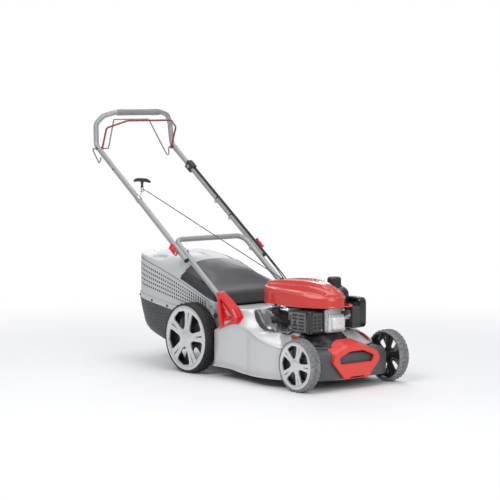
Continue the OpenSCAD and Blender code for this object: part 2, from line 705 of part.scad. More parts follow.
module filler_tube() {
    color([0.1, 0.1, 0.1]) difference() {
        along(filler_p0, filler_p1) difference() {
            cylinder(r = 14, h = norm(filler_p1 - filler_p0));
            translate([0, 0, -1]) cylinder(r = 9, h = 200);
        }
        translate([crank_x, 0, 0]) cylinder(r = case_r, h = 400);
        translate([crank_x, 0, 0]) cylinder(r = case_r + 8.3, h = engine_face_z + 10.3);
    }
}

module dipstick() {
    l = norm(filler_p1 - filler_p0);
    color([0.08, 0.08, 0.08]) along(filler_p0, filler_p1) {
        translate([0, 0, l - 45]) cylinder(r = 3, h = 50);
        translate([0, 0, l - 10]) difference() {
            cylinder(r = 19, h = 18);
            translate([0, 0, -1]) cylinder(r = 14 + fit_gap, h = 11 + gap);
        }
        translate([0, 0, l + 8]) translate([-15, -3, 0]) cube([30, 6, 9]);
    }
}

module spark_plug() {
    color([0.1, 0.1, 0.1]) translate([head_x, cyl_y + 40, 278]) rotate([0, 90, 0]) {
        cylinder(r = 6, h = 14);
        translate([0, 0, 14]) cylinder(r = 9, h = 20);
    }
}

// Turning group on the crankshaft
blade_top = blade_z + blade_t;
module crankshaft() {
    color([0.75, 0.76, 0.78]) translate([crank_x, 0, 0]) difference() {
        translate([0, 0, blade_top + 4]) cylinder(r = crank_d / 2, h = drum_z - 20 - blade_top);
        translate([0, 0, blade_z]) cylinder(r = 5, h = 36);
    }
}

module flywheel() {
    color([0.55, 0.56, 0.58]) translate([crank_x, 0, 300]) difference() {
        union() {
            cylinder(r = 84, h = 8);
            cylinder(r = 24, h = 24);
            for (a = [0:24:336]) rotate([0, 0, a]) translate([50, -1.5, 0]) cube([32, 3, 24]);
        }
        translate([0, 0, -1]) cylinder(r = crank_d / 2, h = 40);
    }
}

module crank_pulley() {
    color([0.35, 0.35, 0.37]) pulley([crank_x, 0], crank_pulley_d, crank_d / 2);
}

module blade_fixings() {
    color([0.4, 0.41, 0.43]) translate([crank_x, 0, 0]) {
        difference() {
            translate([0, 0, blade_top]) cylinder(r = 30, h = 8);
            translate([0, 0, blade_top + 4]) cylinder(r = crank_d / 2, h = 40);
            cylinder(r = 5, h = 200);
        }
        difference() {
            translate([0, 0, blade_top + 8]) cylinder(r = 20, h = 26);
            cylinder(r = crank_d / 2, h = 200);
        }
        translate([0, 0, blade_z - 9]) cylinder(r = 11, h = 9, $fn = 6);
        translate([0, 0, blade_z]) cylinder(r = 5, h = 34);
    }
}

module blade() {
    h = blade_l / 2;
    w = blade_w / 2;
    color([0.5, 0.51, 0.53]) translate([crank_x, 0, blade_z]) difference() {
        union() {
            linear_extrude(blade_t) polygon([[-w, -h + 8], [w - 12, -h + 2], [w, -h + 90], [w, h - 8],
                [12 - w, h - 2], [-w, h - 90]]);
            for (a = [0, 180]) rotate([0, 0, a]) translate([-w, -h + 8, blade_t]) rotate([90, 0, 90])
                linear_extrude(blade_t) polygon([[0, -1], [78, -1], [58, 13], [6, 15]]);
        }
        translate([0, 0, -1]) cylinder(r = 5, h = 10);
    }
}

module rear_axle() {
    color([0.6, 0.61, 0.63])
        y_rod([rear_x, 0, rear_wheel_r], axle_d / 2, -rear_half_track + 12, rear_half_track - 12);
}

module starter_drum() {
    color([0.15, 0.15, 0.16]) translate([crank_x, 0, drum_z - drum_h / 2]) difference() {
        union() {
            cylinder(r = drum_r - 6, h = drum_h);
            cylinder(r = drum_r, h = 2);
            translate([0, 0, drum_h - 2]) cylinder(r = drum_r, h = 2);
        }
        translate([0, 0, -1]) cylinder(r = 8 + fit_gap, h = 40);
    }
}

// Wheels: side is the sign of the wheel's outer side, r and w its size
module wheel_place(x, side, r, half_track) {
    translate([x, side * half_track, r]) rotate([side * 90, 0, 0]) children();
}
module tyre(r, w) {
    color([0.1, 0.1, 0.1]) rotate_extrude($fn = 96) translate([0, 0]) difference() {
        polygon([[r - tyre_wall, 1], [r - tyre_wall + 4, 0], [r - 5, 2.5], [r - 1, 6], [r, 12], [r, w - 12],
            [r - 1, w - 6], [r - 5, w - 2.5], [r - tyre_wall + 4, w], [r - tyre_wall, w - 1]]);
        for (i = [-1:1]) translate([r - 2.5, w / 2 + i * w / 5 - 1.5]) square([4, 3]);
    }
}
module rim(r, w) {
    ro = r - tyre_wall;
    color([0.14, 0.14, 0.15]) difference() {
        union() {
            difference() {
                translate([0, 0, 9]) cylinder(r = ro, h = w - 10);
                translate([0, 0, 8]) cylinder(r = ro - 4, h = w);
            }
            translate([0, 0, 14]) cylinder(r = 19, h = w - 16);
            for (a = [0:72:288]) rotate([0, 0, a]) translate([12, -9, w / 2 - 4]) cube([ro - 14, 18, 12]);
        }
        translate([0, 0, -1]) cylinder(r = axle_d / 2 + fit_gap, h = w + 2);
    }
}
module hubcap(r) {
    ro = r - tyre_wall;
    color([0.78, 0.79, 0.8]) difference() {
        rotate_extrude($fn = 96) polygon([[0, 1], [ro * 0.24, 1], [ro * 0.3, 4], [ro * 0.8, 4],
            [ro * 0.88, 1], [ro, 2.5], [ro, 9], [ro * 0.88, 7], [ro * 0.78, 8], [ro * 0.34, 8], [ro * 0.3, 11],
            [0, 11]]);
        for (a = [0:72:288]) rotate([0, 0, a + 36]) translate([0, 0, -1]) linear_extrude(20)
            polygon([[ro * 0.4, -ro * 0.1], [ro * 0.68, -ro * 0.27], [ro * 0.74, 0], [ro * 0.68, ro * 0.27],
                [ro * 0.4, ro * 0.1]]);
    }
}
module front_wheel(side) {
    wheel_place(front_x, side, front_wheel_r, front_half_track) children();
}
module rear_wheel(side) {
    wheel_place(rear_x, side, rear_wheel_r, rear_half_track) children();
}
module tyre_fr() { front_wheel(-1) tyre(front_wheel_r, front_wheel_w); }
module rim_fr() { front_wheel(-1) rim(front_wheel_r, front_wheel_w); }
module hubcap_fr() { front_wheel(-1) hubcap(front_wheel_r); }
module tyre_fl() { front_wheel(1) tyre(front_wheel_r, front_wheel_w); }
module rim_fl() { front_wheel(1) rim(front_wheel_r, front_wheel_w); }
module hubcap_fl() { front_wheel(1) hubcap(front_wheel_r); }
module tyre_rr() { rear_wheel(-1) tyre(rear_wheel_r, rear_wheel_w); }
module rim_rr() { rear_wheel(-1) rim(rear_wheel_r, rear_wheel_w); }
module hubcap_rr() { rear_wheel(-1) hubcap(rear_wheel_r); }
module tyre_rl() { rear_wheel(1) tyre(rear_wheel_r, rear_wheel_w); }
module rim_rl() { rear_wheel(1) rim(rear_wheel_r, rear_wheel_w); }
module hubcap_rl() { rear_wheel(1) hubcap(rear_wheel_r); }

// Handle
module lower_handle() {
    corner = fold_p + 82 * slope_dir;
    half = [[pivot_x, -lower_half_w, bend_z - 44], [pivot_x, -lower_half_w, bend_z],
        [corner[0], -lower_half_w, corner[2]]];
    color([0.72, 0.73, 0.74]) difference() {
        union() {
            bent_tube(concat(half, mirror_y(half)), tube_d / 2, tube_wall, 38);
            mirrored() {
                round_box([pivot_x - 13, lower_half_w - leg_flat_t / 2, pivot_z - 25],
                    [pivot_x + 13, lower_half_w + leg_flat_t / 2, bend_z - 38], 3);
                translate([pivot_x, lower_half_w, bend_z - 46]) cylinder(r = tube_d / 2, h = 4);
            }
        }
        y_rod([pivot_x, 0, pivot_z], tilt_bolt_r + fit_gap, -300, 300);
        y_rod(fold_p, bolt_r + fit_gap, -300, 300);
    }
}

module upper_handle() {
    low = fold_p - 50 * slope_dir;
    high = bail_p + 22 * slope_dir;
    half = [[low[0], -upper_half_w, low[2]], [high[0], -upper_half_w, high[2]],
        bail_p + [-26, -upper_half_w + 4, grip_rise - 47], bail_p + [-8, -upper_half_w + 32, grip_rise - 13],
        bail_p + [10, -grip_half_l, grip_rise]];
    color([0.72, 0.73, 0.74]) difference() {
        bent_tube(concat(half, mirror_y(half)), tube_d / 2, tube_wall, 38);
        y_rod(fold_p, bolt_r, -300, 300);
        y_rod(bail_p, bail_bore_r, -300, 300);
    }
}

module handle_grip() {
    p = bail_p + [10, 0, grip_rise];
    color([0.3, 0.3, 0.31]) difference() {
        y_rod(p, grip_d / 2, -grip_half_l + 12, grip_half_l - 12);
        y_rod(p, tube_d / 2, -300, 300);
    }
}

eye_y = upper_half_w + tube_d / 2 + 11;
pin_r = 2.5;
eye_t = 10;
module eye_place(side) {
    x = slope_dir;
    z = -side * slope_up;
    multmatrix([[x[0], 0, z[0], fold_p[0]], [0, side, 0, side * eye_y], [x[2], 0, z[2], fold_p[2]],
        [0, 0, 0, 1]]) children();
}
module fold_bolts() {
    out = upper_half_w + tube_d / 2;
    color([0.5, 0.51, 0.53]) {
        mirrored() {
            y_rod(fold_p, bolt_r, lower_half_w - tube_d / 2 - gap - 1, out + 7.5);
            y_rod(fold_p, 9, lower_half_w - tube_d / 2 - gap - 5, lower_half_w - tube_d / 2 - gap);
            y_rod(fold_p, 7, out, out + 2);
        }
        for (side = [-1, 1]) eye_place(side) translate([0, 0, -eye_t / 2]) difference() {
            cylinder(r = 6, h = eye_t);
            translate([0, 0, -1]) cylinder(r = pin_r + fit_gap, h = 20);
        }
    }
}

module cam_lever(side) {
    color([0.8, 0.06, 0.1]) eye_place(side) {
        translate([0, 0, -10]) cylinder(r = pin_r, h = 20);
        for (z = [-10, eye_t / 2 + gap]) translate([0, 0, z]) {
            cylinder(r = 8, h = 5 - gap);
            translate([0, -5, 0]) cube([16, 11, 5 - gap]);
        }
        translate([9, -5, -10]) cube([36, 11, 20]);
        translate([40, 0, -14]) cylinder(r = 6, h = 28);
    }
}
module cam_lever_right() { cam_lever(-1); }
module cam_lever_left() { cam_lever(1); }

// Ring on the right tube that parks the starter grip
module rope_guide() {
    c = fold_p + 352 * slope_dir;
    color([0.6, 0.61, 0.63]) {
        translate([c[0], -upper_half_w, c[2]]) multmatrix([[slope_up[0], 0, slope_dir[0], 0], [0, 1, 0, 0],
            [slope_up[2], 0, slope_dir[2], 0], [0, 0, 0, 1]]) difference() {
            translate([0, 0, -9]) cylinder(r = tube_d / 2 + 2.5, h = 18);
            translate([0, 0, -10]) cylinder(r = tube_d / 2, h = 20);
        }
        rod([c[0] + 6, -upper_half_w + 3, c[2] + 10], [grip_p[0] + 6, grip_p[1] - 7, grip_p[2] - 9], 1.8);
        translate(grip_p - [0, 0, 10]) rotate_extrude() translate([8, 0]) circle(2, $fn = 16);
        // Three pegs on the ring, on which the grip rests beside its rope
        for (a = [90, 180, 270])
            translate(grip_p + [5.5 * cos(a), 5.5 * sin(a), -10]) cylinder(r = 1.5, h = 10 - gap, $fn = 24);
    }
}

module cable_clamp() {
    c = [-585, upper_half_w, fold_p[2] + (fold_p[0] + 585) * tan(handle_slope)];
    color([0.1, 0.1, 0.1]) translate(c) multmatrix([[slope_up[0], 0, slope_dir[0], 0], [0, 1, 0, 0],
        [slope_up[2], 0, slope_dir[2], 0], [0, 0, 0, 1]]) difference() {
        translate([0, 0, -22]) linear_extrude(44) translate([2, 0]) round_rect(36, 28, 4);
        translate([0, 0, -30]) cylinder(r = tube_d / 2, h = 60);
    }
}

module starter_grip() {
    color([0.08, 0.08, 0.08]) {
        translate(grip_p) difference() {
            cylinder(r1 = 6, r2 = 8, h = 32);
            translate([0, 0, -1]) cylinder(r = rope_d / 2 + gap, h = 10);
        }
        translate(grip_p + [0, 0, 37]) rotate([0, 90, 0]) translate([0, 0, -57]) cylinder(r = 9, h = 114);
    }
}

module starter_rope() {
    color([0.6, 0.6, 0.6]) cord(rope_points, rope_d / 2, 8);
}
module brake_cable() {
    color([0.08, 0.08, 0.08]) cord(brake_cable_points, cable_d / 2, 8);
}
module drive_cable() {
    color([0.08, 0.08, 0.08]) cord(drive_cable_points, cable_d / 2, 8);
}

// Two levers on one axis: the red brake bail and the wire drive bail
module brake_bail() {
    half = [bail_p + [4, -brake_y, 6], bail_p + [35, -brake_y, 88], bail_p + [94, 69 - brake_y, 119]];
    color([0.7, 0.05, 0.08]) difference() {
        union() {
            bent_tube(concat(half, mirror_y(half)), brake_rod_d / 2, 0, 18);
            mirrored() y_rod(bail_p, 7.5, brake_y - 4, brake_y + 4);
        }
        y_rod(bail_p, bail_bore_r, -300, 300);
    }
}

module drive_bail() {
    p = [for (q = [[40, -drive_y, -36], [28, -drive_y, -64], [-26, -drive_y, 0], [0, -drive_y, 0], [0, -150, 0],
        [-drive_bail_back, -92, drive_bail_rise], [-drive_bail_back, 92, drive_bail_rise],
        [6, drive_y - 48, -54], [0, drive_y - 48, 0], [0, drive_y - 3, 0]]) bail_p + q];
    color([0.7, 0.71, 0.72]) bent_tube(p, drive_wire_d / 2, 0, 6);
}

// Rear flap over the mouth of the grass box, hinged on its rod
module flap_side(inset) {
    polygon([[flap_x - inset, 272 + (inset > 0 ? -10 : 0)], [flap_x - inset, 322 - inset],
        [rear_x - 2, 360 - inset], [rear_x - 56, 386 - inset], [rear_x - 102, 398 - inset],
        [flap_back_x + inset, 414 - inset], [flap_back_x + inset, 364 - inset * 4], [rear_x + 18, 288 - inset * 4],
        [rear_x + 55, 280 - inset * 4]]);
}
module rear_flap() {
    color([0.12, 0.12, 0.13]) difference() {
        union() {
            difference() {
                translate([0, flap_half_w, 0]) rotate([90, 0, 0]) linear_extrude(2 * flap_half_w) flap_side(0);
                translate([0, flap_half_w - flap_wall, 0]) rotate([90, 0, 0])
                    linear_extrude(2 * (flap_half_w - flap_wall)) flap_side(flap_wall);
            }
            y_rod(flap_pin, flap_pin_r + 4, -flap_half_w, flap_half_w);
        }
        y_rod(flap_pin, flap_pin_r + fit_gap, -300, 300);
    }
}

// Grass box
bag_c = bag_rear_x + 310;
function bag_side_top(x) = let(d = x + 394) bag_corner_z - 0.22 * d - 0.000197 * d * d;
function bag_seam(x) = max(264 - 0.13 * (x + 442), bag_floor_z + 12);
function bag_crown(x) = 58 * smooth((x - bag_rear_x) / 300);
function bag_ring(inset, drop, level) = [for (i = [0:ring_n - 1])
    let(a = 360 * i / ring_n,
        front = cos(a) > 0,
        e = front ? 0.17 : 0.4,
        x = bag_c + ((front ? bag_front_x - bag_c : bag_c - bag_rear_x) - inset) * sgn_pow(cos(a), e),
        y = (bag_half_w - inset) * sgn_pow(sin(a), e))
    [x, y, level < 0 ? bag_seam(x) : bag_side_top(x) + bag_crown(x) * level - drop]];
function bag_stack(wall) = [bag_ring(wall, 0, -1), bag_ring(wall, 8 + wall, 0), bag_ring(5 + wall, wall, 0.04),
    bag_ring(34 + wall, wall, 0.35), bag_ring(80 + wall, wall, 0.75), bag_ring(140 + wall, wall, 0.96)];
module bag_upper() {
    mid_z = bag_side_top(bag_c) + bag_crown(bag_c);
    color([0.66, 0.67, 0.68]) {
        difference() {
            shell(bag_stack(0), bag_stack(bag_wall), [bag_c, 0, mid_z], [bag_c, 0, mid_z - bag_wall]);
            translate([bag_mouth_x, -166, 270]) cube([500, 332, 300]);
            translate([bag_c, -bag_half_w + bag_wall + 4, 150]) cube([500, 2 * (bag_half_w - bag_wall - 4), 160]);
        }
        mirrored() translate([bag_front_x - 51, bag_half_w - bag_wall - 22, chute_top_z + 5.3]) cube([22, 20, 4]);
    }
}

function tray_bottom(x) = x > -60 ? bag_floor_z : x > -170 ? lerp(67, bag_floor_z, (x + 170) / 110)
    : x > -224 ? lerp(81, 67, (x + 224) / 54) : lerp(132, 81, (x + 418) / 194);
function tray_ring(inset, level) = let(r = bag_ring(inset, 0, -1))
    [for (i = [ring_n - 1:-1:0]) [r[i][0], -r[i][1], -lerp(r[i][2] - gap, tray_bottom(r[i][0]), level)]];
function tray_stack(wall) = [tray_ring(wall, 0), tray_ring(5 + wall, 0.3), tray_ring(16 + wall, 0.75),
    tray_ring(38 + wall, 1 - wall / 80), tray_ring(90 + wall, 1 - wall / 80), tray_ring(140 + wall, 1 - wall / 80)];
module bag_lower() {
    z = -tray_bottom(bag_c);
    color([0.2, 0.2, 0.21]) difference() {
        rotate([180, 0, 0]) shell(tray_stack(0), tray_stack(bag_wall), [bag_c, 0, z], [bag_c, 0, z - bag_wall]);
        translate([rear_x + 50, -chute_right - 2, 150]) cube([100, chute_right + chute_left + 4, 200]);
    }
}

deck_shell();
front_apron();
carry_handle();
front_axle();
handle_brackets();
handle_lugs();
pivot_pins();
discharge_chute();
gearbox();
drive_belt();
engine_block();
engine_cylinder();
valve_cover();
muffler();
muffler_guard();
fuel_tank();
air_cleaner();
carburettor();
cowl();
filler_tube();
spark_plug();
flywheel();
crankshaft();
crank_pulley();
blade_fixings();
blade();
gearbox_pulley();
rear_axle();
starter_drum();
fuel_cap();
dipstick();
tyre_fr();
rim_fr();
hubcap_fr();
tyre_fl();
rim_fl();
hubcap_fl();
tyre_rr();
rim_rr();
hubcap_rr();
tyre_rl();
rim_rl();
hubcap_rl();
lower_handle();
upper_handle();
handle_grip();
fold_bolts();
cam_lever_right();
cam_lever_left();
rope_guide();
cable_clamp();
starter_grip();
starter_rope();
brake_cable();
drive_cable();
brake_bail();
drive_bail();
rear_flap();
bag_upper();
bag_lower();
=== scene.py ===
import json
import math

import bmesh
import bpy
from mathutils import Matrix, Vector
from mathutils.bvhtree import BVHTree
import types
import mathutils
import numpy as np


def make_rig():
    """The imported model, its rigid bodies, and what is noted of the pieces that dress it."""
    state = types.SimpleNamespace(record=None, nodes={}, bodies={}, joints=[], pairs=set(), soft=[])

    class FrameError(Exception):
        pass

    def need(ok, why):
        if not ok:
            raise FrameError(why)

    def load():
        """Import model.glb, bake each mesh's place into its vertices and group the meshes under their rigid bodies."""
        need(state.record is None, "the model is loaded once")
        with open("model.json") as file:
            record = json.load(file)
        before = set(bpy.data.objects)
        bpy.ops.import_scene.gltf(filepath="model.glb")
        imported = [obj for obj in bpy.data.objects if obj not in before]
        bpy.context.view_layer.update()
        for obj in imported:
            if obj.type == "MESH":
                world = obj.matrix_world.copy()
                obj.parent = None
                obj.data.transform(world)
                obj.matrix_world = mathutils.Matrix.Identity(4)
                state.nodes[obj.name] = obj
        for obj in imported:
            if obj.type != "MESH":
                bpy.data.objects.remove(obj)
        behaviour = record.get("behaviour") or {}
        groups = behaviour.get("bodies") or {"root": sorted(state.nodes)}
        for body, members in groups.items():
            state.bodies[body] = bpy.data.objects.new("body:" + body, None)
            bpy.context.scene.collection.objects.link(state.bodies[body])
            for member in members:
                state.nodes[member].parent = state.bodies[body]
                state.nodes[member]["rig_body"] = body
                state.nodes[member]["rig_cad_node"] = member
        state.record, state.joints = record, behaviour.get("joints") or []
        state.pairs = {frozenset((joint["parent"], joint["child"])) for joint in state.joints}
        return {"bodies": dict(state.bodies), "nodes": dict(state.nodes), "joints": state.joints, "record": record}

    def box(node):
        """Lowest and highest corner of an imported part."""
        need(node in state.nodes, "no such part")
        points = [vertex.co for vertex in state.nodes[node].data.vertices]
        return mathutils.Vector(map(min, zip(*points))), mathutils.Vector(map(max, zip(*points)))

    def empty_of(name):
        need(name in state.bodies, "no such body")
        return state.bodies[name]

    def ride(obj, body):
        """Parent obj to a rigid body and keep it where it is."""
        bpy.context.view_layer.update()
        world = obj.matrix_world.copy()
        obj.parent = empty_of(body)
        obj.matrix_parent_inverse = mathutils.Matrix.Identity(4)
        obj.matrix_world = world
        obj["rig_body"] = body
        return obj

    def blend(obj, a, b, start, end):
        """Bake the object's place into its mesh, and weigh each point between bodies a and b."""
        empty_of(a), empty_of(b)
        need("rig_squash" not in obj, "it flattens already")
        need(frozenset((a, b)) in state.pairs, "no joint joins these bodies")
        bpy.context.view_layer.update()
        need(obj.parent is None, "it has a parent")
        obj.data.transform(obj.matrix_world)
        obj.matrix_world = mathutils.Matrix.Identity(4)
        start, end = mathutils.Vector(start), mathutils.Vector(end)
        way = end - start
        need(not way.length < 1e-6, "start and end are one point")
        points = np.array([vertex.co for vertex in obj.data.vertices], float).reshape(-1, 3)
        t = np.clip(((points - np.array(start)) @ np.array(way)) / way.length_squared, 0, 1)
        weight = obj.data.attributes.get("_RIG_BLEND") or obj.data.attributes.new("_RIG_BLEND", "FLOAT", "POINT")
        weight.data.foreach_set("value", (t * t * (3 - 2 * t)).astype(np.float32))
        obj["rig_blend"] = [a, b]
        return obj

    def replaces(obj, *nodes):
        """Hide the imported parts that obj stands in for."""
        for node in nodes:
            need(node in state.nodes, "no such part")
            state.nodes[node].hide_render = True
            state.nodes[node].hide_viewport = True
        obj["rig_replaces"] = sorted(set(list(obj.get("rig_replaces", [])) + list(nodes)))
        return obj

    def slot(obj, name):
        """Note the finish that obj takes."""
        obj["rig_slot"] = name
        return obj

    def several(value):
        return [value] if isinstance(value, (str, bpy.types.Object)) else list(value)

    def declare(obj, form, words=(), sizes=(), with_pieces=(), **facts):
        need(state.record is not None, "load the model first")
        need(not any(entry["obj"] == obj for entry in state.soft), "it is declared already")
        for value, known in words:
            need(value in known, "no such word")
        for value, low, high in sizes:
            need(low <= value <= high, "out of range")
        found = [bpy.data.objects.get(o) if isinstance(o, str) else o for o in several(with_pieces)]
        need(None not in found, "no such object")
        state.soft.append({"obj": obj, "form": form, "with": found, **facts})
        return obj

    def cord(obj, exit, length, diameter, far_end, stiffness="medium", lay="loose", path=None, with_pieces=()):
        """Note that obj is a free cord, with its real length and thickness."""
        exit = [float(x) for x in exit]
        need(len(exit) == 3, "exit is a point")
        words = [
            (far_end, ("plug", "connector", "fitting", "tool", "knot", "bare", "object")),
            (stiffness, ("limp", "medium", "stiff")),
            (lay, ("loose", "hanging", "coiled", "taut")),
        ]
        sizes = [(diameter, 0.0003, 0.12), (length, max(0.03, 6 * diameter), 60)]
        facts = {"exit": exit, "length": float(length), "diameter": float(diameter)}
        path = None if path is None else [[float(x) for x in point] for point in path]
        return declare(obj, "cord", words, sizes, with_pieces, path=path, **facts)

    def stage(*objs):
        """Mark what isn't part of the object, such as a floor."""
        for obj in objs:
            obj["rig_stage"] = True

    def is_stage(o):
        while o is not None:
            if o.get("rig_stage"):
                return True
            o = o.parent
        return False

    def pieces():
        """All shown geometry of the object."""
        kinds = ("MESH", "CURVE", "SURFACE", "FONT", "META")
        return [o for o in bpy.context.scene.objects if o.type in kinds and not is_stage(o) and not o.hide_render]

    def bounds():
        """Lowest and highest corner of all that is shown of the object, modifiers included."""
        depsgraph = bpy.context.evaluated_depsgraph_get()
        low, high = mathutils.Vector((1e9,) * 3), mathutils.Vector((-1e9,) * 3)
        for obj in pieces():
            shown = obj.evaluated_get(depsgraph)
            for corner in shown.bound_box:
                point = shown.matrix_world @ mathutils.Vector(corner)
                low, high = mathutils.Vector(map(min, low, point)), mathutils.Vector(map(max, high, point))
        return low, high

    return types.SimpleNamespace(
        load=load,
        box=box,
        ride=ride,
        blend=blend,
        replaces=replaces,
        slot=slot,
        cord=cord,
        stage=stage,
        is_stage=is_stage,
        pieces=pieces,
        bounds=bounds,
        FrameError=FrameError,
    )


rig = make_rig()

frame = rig.load()
CAD_BOX = [list(c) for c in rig.bounds()]
NODES = frame["nodes"]
MM = 0.001
X, Y, Z = Vector((1, 0, 0)), Vector((0, 1, 0)), Vector((0, 0, 1))


# ---------------------------------------------------------------- frame
def middle(node):
    lo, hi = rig.box(node)
    return (lo + hi) / (2 * MM)


# front axle, rear axle, crankshaft and front wheel, all in millimetres like every length below
FX, RX, CX = [middle(node).x for node in ("tyre_fr", "tyre_rr", "crankshaft")]
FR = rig.box("tyre_fr")[1].z / MM / 2
SLOPE = math.radians(35)
# along the sloping tubes, and square to them
SD = Vector((-math.cos(SLOPE), 0, math.sin(SLOPE)))
SU = Vector((math.sin(SLOPE), 0, math.cos(SLOPE)))
PIVOT = Vector((FX - 542, 0, 236))
LOWER_RUN, UPPER_RUN = 283, 707
FOLD = Vector((PIVOT.x - LOWER_RUN * math.cos(SLOPE), 0, 306 + LOWER_RUN * math.sin(SLOPE)))
BAIL = FOLD + UPPER_RUN * SD

# ---------------------------------------------------------------- camera
CAMERA_AT = (5296.0 + FX, -4720.8, 1130.4)
CAMERA_DOWN, CAMERA_TURN = 4.923, 51.19
scene = bpy.context.scene
cam_data = bpy.data.cameras.new("camera")
cam_data.sensor_width = 36
cam_data.lens = 135.3
cam_data.clip_end = 60
camera = bpy.data.objects.new("camera", cam_data)
scene.collection.objects.link(camera)
camera.location = [q * MM for q in CAMERA_AT]
camera.rotation_euler = (math.radians(90 - CAMERA_DOWN), 0, math.radians(CAMERA_TURN))
scene.camera = camera


# ---------------------------------------------------------------- materials
GLOSS_SPREAD, BUMP_DEPTH, RUB_SCALE = 0.08, 0.0006, 160


def feed(tree, node, inputs):
    """Gives each input its value, or the output that drives it."""
    for key, value in inputs.items():
        if isinstance(value, bpy.types.NodeSocket):
            tree.links.new(value, node.inputs[key])
        else:
            node.inputs[key].default_value = value


def add_node(tree, kind, inputs, **settings):
    node = tree.nodes.new("ShaderNode" + kind)
    for key, value in settings.items():
        setattr(node, key, value)
    feed(tree, node, inputs)
    return node


def mixed(tree, a, b, share):
    return add_node(tree, "Mix", {"A": a, "B": b, "Factor": share}, data_type="RGBA").outputs["Result"]


def mapped(tree, value, **limits):
    """Map Range node; limits are from_min, from_max, to_min and to_max."""
    names = {key.replace("_", " ").title(): number for key, number in limits.items()}
    return add_node(tree, "MapRange", {"Value": value, **names}).outputs[0]


def material(name, color, rough, metal, coat, spread, patch, grain, grain_scale, dust,
             coat_rough=0.08, sheen=0.0, stretch=(1, 1, 1)):
    """Shader whose colour, roughness and bump vary over the surface at the scale of the real finish."""
    mat = bpy.data.materials.new(name)
    mat.use_nodes = True
    tree = mat.node_tree

    def tint(gain, lift=0.0):
        return (*[min(1, c * gain + lift) for c in color], 1)

    def noise(vector, scale, **more):
        return add_node(tree, "TexNoise", {"Vector": vector, "Scale": scale, **more}).outputs["Fac"]

    where = add_node(tree, "TexCoord", {}).outputs["Object"]
    scaled = add_node(tree, "Mapping", {"Vector": where, "Scale": stretch}).outputs[0]
    cloud = noise(scaled, patch, Detail=4)
    out = mixed(tree, tint(1 - spread), tint(1 + spread), mapped(tree, cloud, from_min=0.3, from_max=0.7))
    if dust:
        edges = add_node(tree, "NewGeometry", {}).outputs["Pointiness"]
        rubbed = add_node(tree, "Math", {0: edges, 1: noise(where, RUB_SCALE)},
                          operation="MULTIPLY").outputs[0]
        worn = mapped(tree, rubbed, from_min=0.26, from_max=0.36, to_max=dust)
        out = mixed(tree, out, tint(1.8, 0.06), worn)
    gloss = mapped(tree, cloud, to_min=max(0.02, rough - GLOSS_SPREAD), to_max=min(1, rough + GLOSS_SPREAD))
    shader = tree.nodes["Principled BSDF"]
    feed(tree, shader, {"Base Color": out, "Roughness": gloss, "Metallic": metal, "Coat Weight": coat,
                        "Coat Roughness": coat_rough, "Sheen Weight": sheen})
    if grain:
        height = noise(scaled, grain_scale, Detail=2)
        bump = add_node(tree, "Bump", {"Strength": grain, "Distance": BUMP_DEPTH, "Height": height})
        feed(tree, shader, {"Normal": bump.outputs[0]})
    return mat


